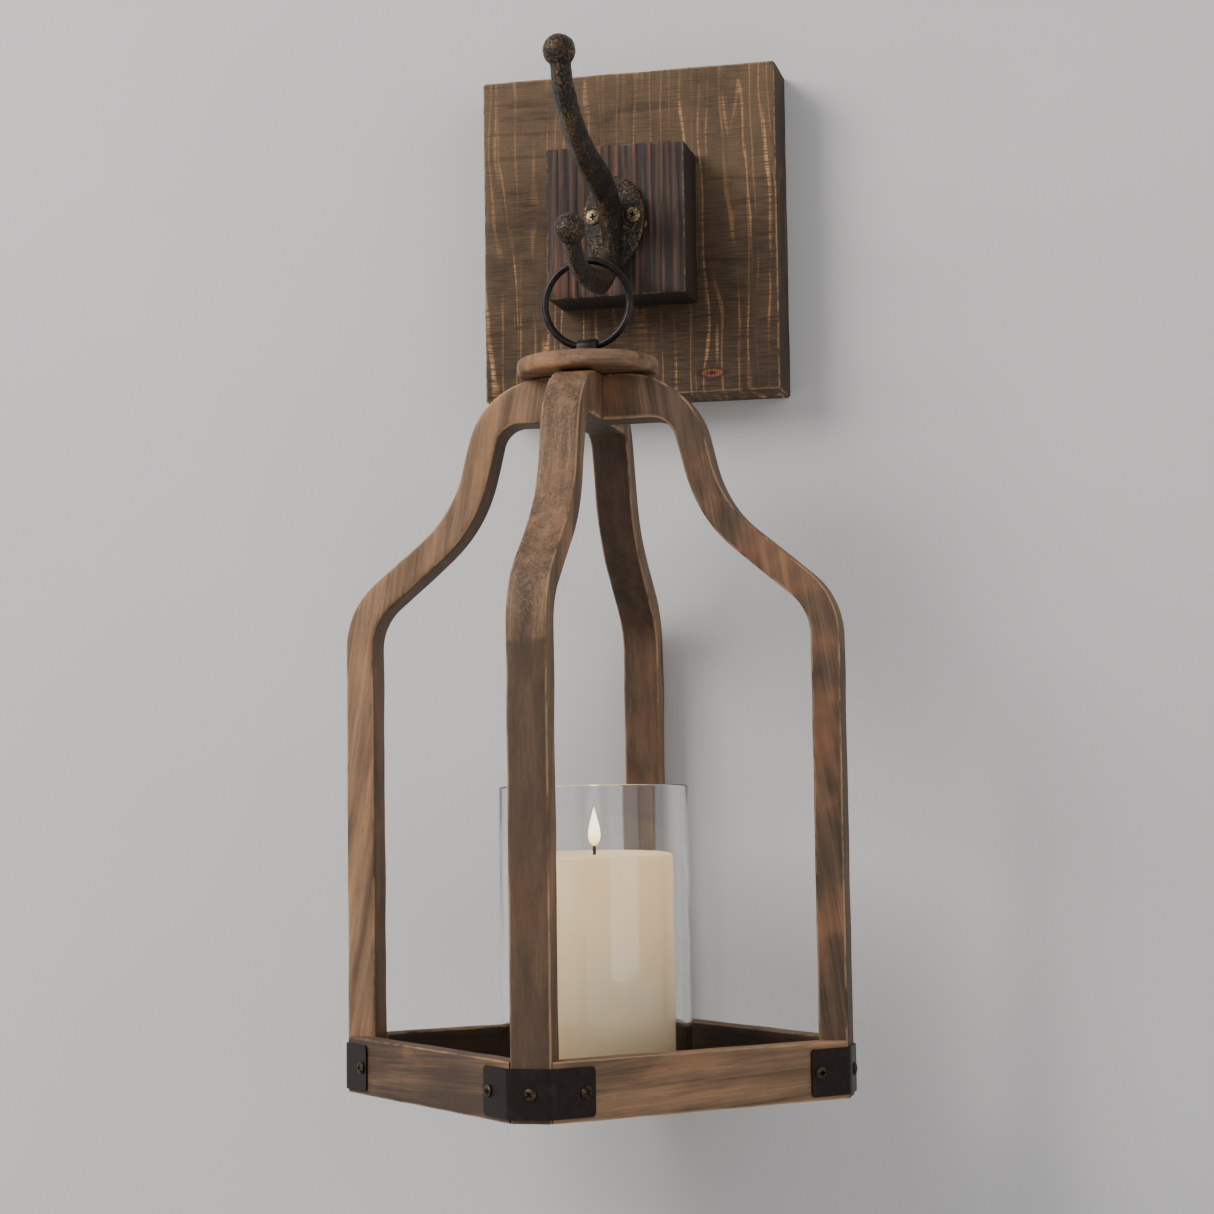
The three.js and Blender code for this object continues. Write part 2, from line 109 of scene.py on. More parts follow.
class Finish:
    """A material whose nodes are added one call at a time to a Principled shader."""

    def __init__(self, name, **fixed):
        self.material = bpy.data.materials.new(name)
        self.material.use_nodes = True
        self.tree = self.material.node_tree
        self.shader = self.tree.nodes["Principled BSDF"]
        self.place = None
        self.feed(self.shader, {key.replace("_", " "): value for key, value in fixed.items()})

    def feed(self, node, sockets):
        for key, value in sockets.items():
            if isinstance(value, Wire):
                self.tree.links.new(value.socket, node.inputs[key])
            else:
                node.inputs[key].default_value = value

    def node(self, kind, settings, sockets, output=0):
        """Adds a node with its settings and the values or wires of its sockets."""
        made = self.tree.nodes.new("ShaderNode" + kind)
        for name, setting in settings.items():
            if name == "stops":
                for _ in setting[2:]:
                    made.color_ramp.elements.new(1)
                for element, (position, colour) in zip(made.color_ramp.elements, setting):
                    element.position = position
                    element.color = colour
            else:
                setattr(made, name, setting)
        self.feed(made, sockets)
        return Wire(self, made.outputs[output])

    def lay(self, centre=(0, 0, 0), turn=Matrix.Identity(3), shift=(0, 0, 0)):
        """Sets out the pattern in millimetres about a centre, turned to suit the piece."""
        self.place = self.node(
            "Mapping",
            {},
            {
                "Vector": self.node("TexCoord", {}, {}, "Object"),
                "Location": turn @ (-Vector(centre) / MM) + Vector(shift),
                "Rotation": turn.to_euler(),
                "Scale": (1 / MM,) * 3,
            },
        )
        return [self.node("SeparateXYZ", {}, {0: self.place}, axis) for axis in range(3)]

    def point(self, x, y, z):
        return self.node("CombineXYZ", {}, {0: x, 1: y, 2: z})

    def stretched(self, x, y, z):
        """The laid-out place, scaled along each axis, for a noise that runs with the grain."""
        return self.node("VectorMath", {"operation": "MULTIPLY"}, {0: self.place, 1: (x, y, z)})

    def noise(self, place, detail=3.0, roughness=0.55, distortion=0.0):
        sockets = {"Vector": place, "Scale": 1.0, "Detail": detail, "Roughness": roughness}
        return self.node("TexNoise", {}, {**sockets, "Distortion": distortion})

    def mix(self, amount, below, above):
        return self.node("Mix", {"data_type": "RGBA"}, {0: amount, 6: below, 7: above}, 2)

    def ramp(self, value, *stops):
        return self.node("ValToRGB", {"stops": stops}, {0: value})

    def mark(self, name):
        return self.node("Attribute", {"attribute_name": name}, {}, "Fac")

    def paint(self, **sockets):
        self.feed(self.shader, {key.replace("_", " "): value for key, value in sockets.items()})

    def emboss(self, height, depth):
        """Bumps the surface by a height from 0 to 1, which is worth depth in metres."""
        bumped = self.node("Bump", {}, {"Height": height, "Strength": 1.0, "Distance": depth})
        self.paint(Normal=bumped)


def rgb(red, green, blue):
    """A colour given as 8-bit display values, made linear."""

    def linear(value):
        share = value / 255
        return share / 12.92 if share <= 0.04045 else ((share + 0.055) / 1.055) ** 2.4

    return (linear(red), linear(green), linear(blue), 1)


def timber(size, rounding, pitch):
    """A bar about the origin with rounded edges, split finely enough to be roughened."""
    bm = bmesh.new()
    bmesh.ops.create_cube(bm, size=1)
    bmesh.ops.scale(bm, vec=size, verts=bm.verts)
    bmesh.ops.bevel(
        bm,
        geom=bm.edges[:],
        offset=rounding,
        segments=2,
        profile=0.5,
        affect="EDGES",
        material=-1,
    )
    for axis in range(3):
        runs = [edge for edge in bm.edges if abs((edge.verts[1].co - edge.verts[0].co)[axis]) > size[axis] / 2]
        cuts = max(1, round(size[axis] / pitch[axis]) - 1)
        bmesh.ops.subdivide_edges(bm, edges=runs, cuts=cuts, use_grid_fill=True)
    worn = bm.verts.layers.float.new("worn")
    for vert in bm.verts:
        outside = [abs(vert.co[axis]) > size[axis] / 2 - rounding * 0.6 for axis in range(3)]
        vert[worn] = 1.0 if sum(outside) > 1 else 0.0
    return bm


def roughen(bm, seed, swell, fray):
    """Moves the surface in and out a little, and more where it is worn."""
    bm.normal_update()
    worn = bm.verts.layers.float.get("worn")
    for vert in bm.verts:
        place = vert.co / MM
        wave = noise.noise(place * 0.045 + Vector((seed, 0, 0))) * swell
        chip = noise.noise(place * 0.33 + Vector((0, seed, 0)))
        wear = vert[worn] if worn else 0.0
        vert.co += vert.normal * (wave - wear * max(0.0, chip) * fray)


def as_object(name, bm):
    mesh = bpy.data.meshes.new(name)
    bm.to_mesh(mesh)
    bm.free()
    mesh.polygons.foreach_set("use_smooth", [True] * len(mesh.polygons))
    mesh.set_sharp_from_angle(angle=math.radians(40))
    made = bpy.data.objects.new(name, mesh)
    bpy.context.collection.objects.link(made)
    return made


def carved(bm, cutters):
    """The solid with each cutter's solid taken away."""
    body = as_object("uncut", bm)
    tools = [as_object("cutter", cutter) for cutter in cutters]
    for tool in tools:
        cut = body.modifiers.new("cut", "BOOLEAN")
        cut.operation = "DIFFERENCE"
        cut.solver = "EXACT"
        cut.object = tool
    result = bmesh.new()
    result.from_object(body, bpy.context.evaluated_depsgraph_get())
    for used in [body, *tools]:
        bpy.data.meshes.remove(used.data)
    return result


def piece(name, bm, finish, slot, body, *nodes):
    """Makes a finished piece that rides on a body and stands for its CAD nodes."""
    made = as_object(name, bm)
    made.data.materials.append(finish.material)
    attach(made, body)
    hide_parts(*nodes)
    return made


def block_of(low, high):
    """A plain box between two corners, for cutting recesses."""
    bm = bmesh.new()
    low, high = Vector(low), Vector(high)
    bmesh.ops.create_cube(bm, size=1)
    bmesh.ops.scale(bm, vec=high - low, verts=bm.verts)
    bmesh.ops.translate(bm, vec=(low + high) / 2, verts=bm.verts)
    return bm


def grown_box(node, margin):
    low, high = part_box(node)
    edge = Vector((margin,) * 3)
    return low - edge, high + edge


def peg(start, end, radius, sides=24):
    """A round bar from one point to another, for cutting holes."""
    bm = bmesh.new()
    start, end = Vector(start), Vector(end)
    length = (end - start).length
    bmesh.ops.create_cone(bm, cap_ends=True, segments=sides, radius1=radius, radius2=radius, depth=length)
    aim = (end - start).to_track_quat("Z", "Y").to_matrix().to_4x4()
    bmesh.ops.transform(bm, matrix=Matrix.Translation((start + end) / 2) @ aim, verts=bm.verts)
    return bm


board_low, board_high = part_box("backboard")
board_size = board_high - board_low
block_low, block_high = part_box("mounting_block")

board_cuts = []
for side in ("left", "right"):
    low, high = grown_box("keyhole_hanger_" + side, 0.3 * MM)
    board_cuts.append(block_of(low, (high.x, 1 * MM, high.z)))
    middle = (low + high) / 2
    pocket = Vector((5, 10, 11)) * MM
    board_cuts.append(block_of((middle.x - pocket.x, -pocket.y, middle.z - pocket.z), middle + pocket))
for index in range(1, 5):
    low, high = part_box(f"block_screw_{index}")
    spot = (low + high) / 2
    board_cuts.append(peg((spot.x, -4.5 * MM, spot.z), (spot.x, 1 * MM, spot.z), 4.3 * MM))

board = timber(board_size, 1.1 * MM, (2.6 * MM, 2.6 * MM, 2.6 * MM))
roughen(board, 11, 0.25 * MM, 1.1 * MM)
bmesh.ops.translate(board, vec=(board_low + board_high) / 2, verts=board.verts)
board = carved(board, board_cuts)

KNOT = (44, -77.5)  # across and up the board's face


def rough_sawn_finish():
    wood = Finish("rough_sawn_softwood", Roughness=0.72)
    x, y, z = wood.lay()
    sway = wood.noise(wood.stretched(0.03, 0.014, 0.004), 3)
    saw = wood.noise(wood.stretched(0.06, 0.5, 1.9), 3.5, 0.7)
    bands = wood.noise(wood.stretched(0.02, 0.1, 0.16), 2)
    patches = wood.noise(wood.stretched(0.024, 0.024, 0.018), 3, 0.6)
    fibre = wood.noise(wood.stretched(2.2, 2.2, 0.12), 3, 0.6)
    ring = (x * 0.5 + sway * 30).maths("SINE")
    narrow = (x * 1.13 + sway * 40).maths("SINE")
    fade = wood.noise(wood.stretched(0.13, 0.1, 0.016), 2)
    lines = ring.rising(0.86, 1.0) * fade.rising(0.4, 0.58)
    # Glints: paler rubbed fibre where the ring lines cross the saw's score, also painted brighter and glossier as
    # highlights.
    glints = lines * saw.rising(0.42, 0.58) * patches.rising(0.36, 0.58)
    threads = narrow.rising(0.7, 1.0) * fade.rising(0.6, 0.42) * patches.rising(0.3, 0.54)
    scratches = wood.noise(wood.stretched(0.016, 0.1, 0.42), 1).rising(0.66, 0.74)
    scratches = scratches * patches.rising(0.5, 0.64) * saw.rising(0.4, 0.6) * (1 - x.rising(0, 50))

    colour = wood.mix(saw.rising(0.3, 0.66), rgb(44, 32, 22), rgb(92, 71, 51))
    # Painted light, mixed with random patches: the board is painted lighter towards its top and left, where the lamp
    # falls.
    lit = (patches + z * 0.0022 - x * 0.0009).rising(0.34, 0.74)
    colour = wood.mix(lit * 0.5, colour, rgb(124, 99, 72))
    colour = wood.mix(bands.rising(0.46, 0.3) * 0.4, colour, rgb(40, 29, 20))
    colour = wood.mix(fibre.rising(0.42, 0.3) * 0.45, colour, rgb(38, 28, 20))
    colour = wood.mix(ring.rising(0.7, 1.0) * saw.rising(0.36, 0.56) * fade.rising(0.36, 0.6) * 0.34, colour, rgb(136, 92, 60))
    colour = wood.mix(threads * saw.rising(0.36, 0.54) * 0.7, colour, rgb(168, 122, 78))
    colour = wood.mix(scratches * 0.4, colour, rgb(176, 134, 90))
    colour = wood.mix(glints * 0.85, colour, rgb(214, 164, 106))

    away = wood.point((x - KNOT[0]) * 0.15, 0, (z - KNOT[1]) * 0.4)
    spot = wood.node("VectorMath", {"operation": "LENGTH"}, {0: away}, "Value") + (fibre - 0.5) * 0.9
    on_face = 1 - y.rising(-33, -32)
    colour = wood.mix((1 - spot.rising(0.9, 1.5)) * on_face * 0.8, colour, rgb(44, 27, 17))
    colour = wood.mix(spot.near(0.66, 0.06, 0.34) * on_face * fibre.rising(0.38, 0.56) * 0.8, colour, rgb(168, 98, 52))
    flank = (x.maths("ABSOLUTE")).rising(78.4, 79.2) * y.rising(-33.6, -32.6)
    colour = wood.mix(flank * 0.75, colour, rgb(38, 24, 15))

    wear = wood.mark("worn") * wood.noise(wood.stretched(0.22, 0.22, 0.22), 3, 0.7).rising(0.4, 0.55)
    colour = wood.mix(wear * 0.6, colour, rgb(190, 152, 104))
    wood.paint(Base_Color=colour, Roughness=0.82 - glints * 0.25)
    wood.emboss(saw * 0.8 - ring.rising(-0.2, 1.0) * 0.35 + bands * 0.3 + fibre * 0.25, 0.6 * MM)
    return wood


piece("sawn_board", board, rough_sawn_finish(), "board_wood", "wall_part", "backboard")

# ------------------------------------------------------------------------------ the block
# A smaller square of wire brushed softwood in front of the board. Brushing has cut the soft
# rings away, so hard ridges run up its face. Four screws from behind hold it.

block = timber(block_high - block_low, 1.2 * MM, (0.7 * MM, 3.2 * MM, 3.2 * MM))
depth = block.verts.layers.float.new("groove")
face = (block_low.y - block_high.y) / 2
for vert in block.verts:
    across, up = vert.co.x / MM, vert.co.z / MM
    ridge = noise.noise(Vector((across * 0.42, 5.1, up * 0.006)))
    ridge += 0.6 * noise.noise(Vector((across * 0.95, 9.4, up * 0.014)))
    vert[depth] = min(1.0, max(0.0, 0.5 - ridge))
    if vert.co.y < face + 1.3 * MM:
        vert.co.y += vert[depth] * 0.8 * MM
roughen(block, 23, 0.15 * MM, 0.7 * MM)
bmesh.ops.translate(block, vec=(block_low + block_high) / 2, verts=block.verts)


def brushed_finish():
    wood = Finish("wire_brushed_softwood", Roughness=0.7)
    x, y, z = wood.lay()
    groove = wood.mark("groove")
    fibres = wood.noise(wood.stretched(1.9, 1.0, 0.06), 3, 0.6)
    stain = wood.noise(wood.stretched(0.3, 0.05, 0.01), 2)
    patches = wood.noise(wood.stretched(0.04, 0.04, 0.03), 2)
    crest = 1 - groove.rising(0.3, 0.62)
    colour = wood.mix(crest, rgb(40, 27, 19), rgb(66, 47, 35))
    colour = wood.mix(stain.rising(0.52, 0.66) * (0.15 + crest * 0.45), colour, rgb(126, 70, 44))
    pale = crest * fibres.rising(0.48, 0.66) * patches.rising(0.4, 0.6)
    colour = wood.mix(pale * 0.3, colour, rgb(128, 100, 76))
    colour = wood.mix(fibres.rising(0.46, 0.3) * 0.5, colour, rgb(28, 20, 15))
    wear = wood.mark("worn") * wood.noise(wood.stretched(0.25, 0.25, 0.25), 3).rising(0.46, 0.6)
    colour = wood.mix(wear * 0.5, colour, rgb(140, 110, 86))
    edges = x.maths("ABSOLUTE").rising(35.8, 36.6).maths("MAXIMUM", z.maths("ABSOLUTE").rising(38.8, 39.6))
    colour = wood.mix(edges * y.rising(-65.6, -64.6) * 0.85, colour, rgb(22, 14, 9))
    eye = wood.point((x - 15.5) * 0.5, 0, (z + 3) * 0.42)
    nail = wood.node("VectorMath", {"operation": "LENGTH"}, {0: eye}, "Value")
    on_face = 1 - y.rising(-65.5, -64)
    colour = wood.mix(nail.near(1.05, 0.25, 0.25) * on_face, colour, rgb(24, 15, 11))
    colour = wood.mix((1 - nail.rising(0.6, 0.9)) * on_face, colour, rgb(150, 96, 44))
    wood.paint(Base_Color=colour)
    wood.emboss(fibres, 0.35 * MM)
    return wood


piece("brushed_block", block, brushed_finish(), "block_wood", "wall_part", "mounting_block")

# ------------------------------------------------------------------------------ screws
# Every screw has a cross recess. Dome heads hold the hook, the brackets and the saddle; flush
# heads, in countersunk holes, hold the block, the keyhole plates and the cap.


def spun(points, steps):
    """A turned solid about +Z, from a profile of (radius, height) that starts and ends on the axis."""
    bm = bmesh.new()
    verts = [bm.verts.new((radius, 0, height)) for radius, height in points]
    edges = [bm.edges.new(pair) for pair in zip(verts, verts[1:])]
    bmesh.ops.spin(
        bm,
        geom=verts + edges,
        cent=(0, 0, 0),
        axis=(0, 0, 1),
        angle=math.tau,
        steps=steps,
        use_merge=True,
    )
    bmesh.ops.remove_doubles(bm, verts=bm.verts, dist=0.00001)
    bmesh.ops.recalc_face_normals(bm, faces=bm.faces)
    return bm


def rounded(points, corner, steps=4):
    """The profile with its inner corners rounded: each is a quarter turn of short runs."""
    path = [Vector(points[0])]
    for before, here, after in zip(points, points[1:], points[2:]):
        here = Vector(here)
        start = here + (Vector(before) - here).normalized() * corner
        end = here + (Vector(after) - here).normalized() * corner
        for step in range(steps + 1):
            share = step / steps
            path.append(start.lerp(here, share).lerp(here.lerp(end, share), share))
    return [*path, Vector(points[-1])]


def cross_recess(head, top):
    """Two tapered blades that cross, for cutting a screwdriver's recess."""
    blades = []
    for quarter in range(2):
        blade = block_of((-head * 0.62, -head * 0.15, -head * 0.5), (head * 0.62, head * 0.15, head * 0.5))
        tip = [vert for vert in blade.verts if vert.co.z < 0]
        bmesh.ops.scale(blade, vec=(0.45, 0.7, 1), verts=tip)
        turn = Matrix.Rotation(quarter * math.pi / 2, 4, "Z")
        bmesh.ops.transform(blade, matrix=Matrix.Translation((0, 0, top)) @ turn, verts=blade.verts)
        blades.append(blade)
    return blades


def dome_screw(head, rise, shank, length):
    arc = [(head * math.cos(turn), rise * 0.35 + rise * 0.65 * math.sin(turn)) for turn in (0, 0.4, 0.8, 1.2)]
    profile = [(0, -length), (shank * 0.4, -length), (shank, -length + 2 * MM), (shank, 0)]
    return carved(spun([*profile, (head * 0.97, 0), *arc, (0, rise)], 32), cross_recess(head, rise))


def flush_screw(head, shank, length):
    profile = [(0, -length), (shank * 0.4, -length), (shank, -length + 2 * MM), (shank, shank - head)]
    rim = [(head, -0.25 * MM), (head * 0.96, 0), (0, 0)]
    return carved(spun([*profile, *rim], 32), cross_recess(head, 0))


def screw_finish(name, metal, tarnish, shine):
    steel = Finish(name, Metallic=0.85, Roughness=shine)
    steel.lay()
    film = steel.noise(steel.stretched(0.5, 0.5, 0.5), 4, 0.65)
    steel.paint(
        Base_Color=steel.mix(film.rising(0.36, 0.66), tarnish, metal),
        Roughness=shine + film * 0.25,
    )
    steel.emboss(film, 0.06 * MM)
    return steel


zinc = screw_finish("yellowed_zinc", rgb(176, 158, 122), rgb(92, 78, 58), 0.36)
bronze = screw_finish("aged_bronze", rgb(92, 76, 56), rgb(34, 28, 23), 0.38)


def drive(pattern, name, place, outward, finish, body, node):
    """Sets a copy of a screw at a place, with its head facing outward and turned at random."""
    bm = pattern.copy()
    aim = Vector(outward).to_track_quat("Z", "Y").to_matrix().to_4x4()
    spin = Matrix.Rotation(chance.uniform(0, math.pi), 4, "Z")
    bmesh.ops.transform(bm, matrix=Matrix.Translation(place) @ aim @ spin, verts=bm.verts)
    piece(name, bm, finish, "screw_steel", body, node)


block_screw = flush_screw(4 * MM, 2 * MM, 48 * MM)
for index in range(1, 5):
    low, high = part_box(f"block_screw_{index}")
    place = ((low.x + high.x) / 2, high.y, (low.z + high.z) / 2)
    drive(block_screw, f"block_screw_{index}_steel", place, (0, 1, 0), zinc, "wall_part", f"block_screw_{index}")

# ------------------------------------------------------------------------------ keyhole plates
# Two zinc plated steel plates in the board's back. A wall screw's head goes in at the round eye
# and its shank slides up the slot. Each plate has two small screws.

EYE = 4.6 * MM
SLOT = 2.2 * MM

hanger_screw = flush_screw(2.6 * MM, 1.3 * MM, 12 * MM)
for side in ("left", "right"):
    low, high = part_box("keyhole_hanger_" + side)
    middle = (low + high) / 2
    plate = timber(high - low, 0.3 * MM, (1.5 * MM, 2 * MM, 2 * MM))
    bmesh.ops.translate(plate, vec=middle, verts=plate.verts)
    through = Vector((0, 3 * MM, 0))
    eye = middle - Vector((0, 0, 4 * MM))
    top = middle + Vector((0, 0, 7 * MM))
    slot = block_of(eye - through - Vector((SLOT, 0, 0)), top + through + Vector((SLOT, 0, 0)))
    cutters = [peg(eye - through, eye + through, EYE, 48), peg(top - through, top + through, SLOT, 32), slot]
    for level in ("upper", "lower"):
        node = f"hanger_screw_{side}_{level}"
        low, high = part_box(node)
        place = Vector(((low.x + high.x) / 2, high.y, (low.z + high.z) / 2))
        cutters.append(peg(place - through, place + through, 2.7 * MM))
        drive(hanger_screw, node + "_steel", place, (0, 1, 0), zinc, "wall_part", node)
    piece("keyhole_plate_" + side, carved(plate, cutters), zinc, "screw_steel", "wall_part", "keyhole_hanger_" + side)

# ------------------------------------------------------------------------------ the coat hook
# A sand cast iron hook in one piece: a leaf shaped plate, a long upper prong and a short lower
# one, each with a crest down its outer side and a ball at its end. The dark bronze paint has
# rubbed off the high spots.

hook_low, hook_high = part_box("coat_hook")
plate_back = hook_high.y
plate_front = plate_back - 4 * MM
saddle = Vector((0, sum(v.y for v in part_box("hanging_ring")) / 2, -42.3 * MM))


def sweep(bm, ring, stations):
    """Draws a ring of edges through a list of matrices and closes both ends."""
    loop = ring
    for before, after in zip(stations, stations[1:]):
        grown = bmesh.ops.extrude_edge_only(bm, edges=loop)["geom"]
        loop = [item for item in grown if isinstance(item, bmesh.types.BMEdge) and item.is_boundary]
        moved = [item for item in grown if isinstance(item, bmesh.types.BMVert)]
        bmesh.ops.transform(bm, matrix=after @ before.inverted(), verts=moved)
    bmesh.ops.holes_fill(bm, edges=ring + loop)
    bmesh.ops.recalc_face_normals(bm, faces=bm.faces)


def through(points, count):
    """A smooth curve through points: places and directions at even steps along it."""
    spans = []
    padded = [points[0] * 2 - points[1], *points, points[-1] * 2 - points[-2]]
    for a, b, c, d in zip(padded, padded[1:], padded[2:], padded[3:]):
        spans += interpolate_bezier(b, b + (c - a) / 6, c - (d - b) / 6, c, 24)[:-1]
    spans.append(points[-1])
    length = [0.0]
    for a, b in zip(spans, spans[1:]):
        length.append(length[-1] + (b - a).length)
    even = []
    for step in range(count):
        want = length[-1] * step / (count - 1)
        index = min(sum(1 for value in length if value < want), len(length) - 1)
        start = max(index - 1, 0)
        run = max(length[index] - length[start], 1e-9)
        even.append(spans[start].lerp(spans[index], (want - length[start]) / run))
    ahead = [(b - a).normalized() for a, b in zip([even[0], *even], [*even[1:], even[-1]])]
    return list(zip(even, ahead))


def prong(points, depth, crest):
    """A bar in the plane x = 0 with a crest on its outer side. Points are (half width, y, z)."""
    line = through([Vector(point) * MM for point in points], 48)
    stations = []
    for index, (place, ahead) in enumerate(line):
        share = index / (len(line) - 1)
        deep = 1 + (depth - 1) * (1 - share) ** 1.5
        side = Vector((1, 0, 0))
        ahead = Vector((0, ahead.y, ahead.z)).normalized()
        basis = Matrix((side, ahead.cross(side), ahead)).transposed().to_4x4()
        scale = Matrix.Diagonal((place.x, place.x * deep, 1, 1))
        stations.append(Matrix.Translation((0, place.y, place.z)) @ basis @ scale)
    bm = bmesh.new()
    ring = bmesh.ops.create_circle(bm, segments=32, radius=1)["verts"]
    for vert in ring:
        lean = max(0.0, crest * vert.co.y)
        vert.co.x *= 1 - 0.3 * lean
        vert.co.y *= 1 + 0.28 * lean**4
    bmesh.ops.transform(bm, matrix=stations[0], verts=ring)
    sweep(bm, bm.edges[:], stations)
    return bm


def ball(y, z, radius):
    bm = bmesh.new()
    place = Matrix.Translation((0, y * MM, z * MM))
    bmesh.ops.create_icosphere(bm, subdivisions=4, radius=radius * MM, matrix=place)
    return bm


def leaf_plate():
    """A crowned plate, rounded at the top and pointed at the foot."""
    half, top, bottom = hook_high.x, 22.5 * MM, -28.6 * MM
    foot, widest, crown = Vector((0, bottom)), Vector((half, 2 * MM)), Vector((0, top))
    lower = interpolate_bezier(foot, (7 * MM, bottom + 4 * MM), (half, -16 * MM), widest, 18)
    upper = interpolate_bezier(widest, (half, 14 * MM), (8 * MM, top), crown, 16)
    right = [*lower[:-1], *upper]
    left = [Vector((-point.x, point.y)) for point in reversed(right[1:-1])]
    bm = bmesh.new()
    rim = [bm.verts.new((point[0], plate_back, point[1])) for point in [*right, *left]]
    leaf = bm.faces.new(rim)
    solid = bmesh.ops.extrude_face_region(bm, geom=[leaf])["geom"]
    lifted = [item for item in solid if isinstance(item, bmesh.types.BMVert)]
    bmesh.ops.translate(bm, vec=(0, plate_front - plate_back + 1.2 * MM, 0), verts=lifted)
    front = [item for item in solid if isinstance(item, bmesh.types.BMFace)]
    for inset, lift in ((1.3, 0.8), (3.5, 0.6), (4.0, 0.5)):
        bmesh.ops.inset_region(bm, faces=front, thickness=inset * MM, depth=0)
        verts = {vert for item in front for vert in item.verts}
        bmesh.ops.translate(bm, vec=(0, -lift * MM, 0), verts=list(verts))
    bmesh.ops.recalc_face_normals(bm, faces=bm.faces)
    return bm


def joined(parts):
    whole = bmesh.new()
    for part in parts:
        mesh = bpy.data.meshes.new("part")
        part.to_mesh(mesh)
        part.free()
        whole.from_mesh(mesh)
        bpy.data.meshes.remove(mesh)
    return whole


root = (plate_back - 1 * MM) / MM
front = plate_front / MM
UPPER = [(3.2, root, -22), (5.0, front, -14), (5.8, front - 4, -5), (6.2, front - 10, 4), (6.4, -98, 12.5)]
UPPER += [(6.3, -133, 18.5), (6.0, -156, 27), (5.6, -171, 38.5), (5.1, -178, 50), (5.0, -180, 57)]
LOWER = [(3.0, root, -4), (4.6, front, -12), (5.6, front - 4, -20), (5.8, -86, -31), (5.4, -104, -39.5)]
LOWER += [(5.1, saddle.y / MM, -42.3), (4.9, -147, -41), (4.7, -158, -34.5), (4.6, -163.5, -26)]

seats = []
for side in (-1, 1):
    seat = Vector((side * 10.5 * MM, plate_front + 0.1 * MM, 1 * MM))
    seats.append(peg(seat, seat - Vector((0, 9 * MM, 0)), 4.5 * MM, 40))
casting = [
    leaf_plate(),
    prong(UPPER, 1.5, -1),
    prong(LOWER, 1.25, -1),
    ball(-180, 57, 8),
    ball(-163.5, -26, 7.7),
]
rough_casting = as_object("rough_casting", joined(casting))
skin = rough_casting.modifiers.new("skin", "REMESH")
skin.mode = "VOXEL"
skin.voxel_size = 0.62 * MM
for tool in [as_object("seat", seat) for seat in seats]:
    cut = rough_casting.modifiers.new("seat", "BOOLEAN")
    cut.operation = "DIFFERENCE"
    cut.solver = "EXACT"
    cut.object = tool
hook = bmesh.new()
hook.from_object(rough_casting, bpy.context.evaluated_depsgraph_get())
for used in [item for item in bpy.data.objects if item.name.startswith(("rough_casting", "seat"))]:
    bpy.data.objects.remove(used)
for _ in range(5):
    bmesh.ops.smooth_vert(hook, verts=hook.verts, factor=0.5, use_axis_x=True, use_axis_y=True, use_axis_z=True)
hook.normal_update()
raised = hook.verts.layers.float.new("worn")
for vert in hook.verts:
    around = sum((edge.other_vert(vert).co for edge in vert.link_edges), Vector()) / len(vert.link_edges)
    vert[raised] = min(1.0, max(0.0, (vert.co - around).dot(vert.normal) / (0.035 * MM)))
for vert in hook.verts:
    place = vert.co / MM
    grit = noise.noise(place * 0.85) * 0.16 + noise.noise(place * 0.3) * 0.22
    pits = max(0.0, noise.noise(place * 0.55 + Vector((3, 1, 8))) - 0.25) * 0.5
    if vert.co.y < plate_back - 0.6 * MM:
        vert.co += vert.normal * (grit - pits) * MM


def cast_iron_finish():
    iron = Finish("rubbed_cast_iron", Metallic=0.55, Roughness=0.42)
    iron.lay()
    grain = iron.noise(iron.stretched(0.9, 0.9, 0.9), 4, 0.7)
    patches = iron.noise(iron.stretched(0.07, 0.07, 0.07), 3, 0.6)
    high = iron.mark("worn") * 0.1 + grain * 1.05 + patches * 0.45
    rub = high.rising(0.75, 1.02)
    colour = iron.mix(grain.rising(0.35, 0.65), rgb(10, 8, 6), rgb(34, 27, 21))
    colour = iron.mix(rub * 0.7, colour, rgb(150, 118, 80))
    iron.paint(Base_Color=colour, Metallic=0.4 + rub * 0.5, Roughness=0.48 - rub * 0.12)
    iron.emboss(grain, 0.4 * MM)
    return iron


piece("cast_hook", hook, cast_iron_finish(), "hook_iron", "wall_part", "coat_hook")

hook_screw = dome_screw(4 * MM, 1.5 * MM, 1.9 * MM, 22 * MM)
for name, side in (("left", -1), ("right", 1)):
    place = (side * 10.5 * MM, plate_front, 1 * MM)
    drive(hook_screw, f"hook_screw_{name}_zinc", place, (0, -1, 0), zinc, "wall_part", "hook_screw_" + name)

# ------------------------------------------------------------------------------ the ring
# Round steel wire, bent to a circle and welded, with a dark gunmetal finish. It hangs on the
# lower prong.

ring_low, ring_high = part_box("hanging_ring")
RING_WIRE = 1.85 * MM
ring_radius = (ring_high.x - ring_low.x) / 2 - RING_WIRE

ring = bmesh.new()
bmesh.ops.create_circle(ring, segments=20, radius=RING_WIRE)
bmesh.ops.translate(ring, vec=(ring_radius, 0, 0), verts=ring.verts)
bmesh.ops.spin(
    ring,
    geom=ring.verts[:] + ring.edges[:],
    cent=(0, 0, 0),
    axis=(0, 1, 0),
    angle=math.tau,
    steps=128,
    use_merge=True,
)
bmesh.ops.remove_doubles(ring, verts=ring.verts, dist=0.01 * MM)
bmesh.ops.recalc_face_normals(ring, faces=ring.faces)
bmesh.ops.translate(ring, vec=(ring_low + ring_high) / 2, verts=ring.verts)


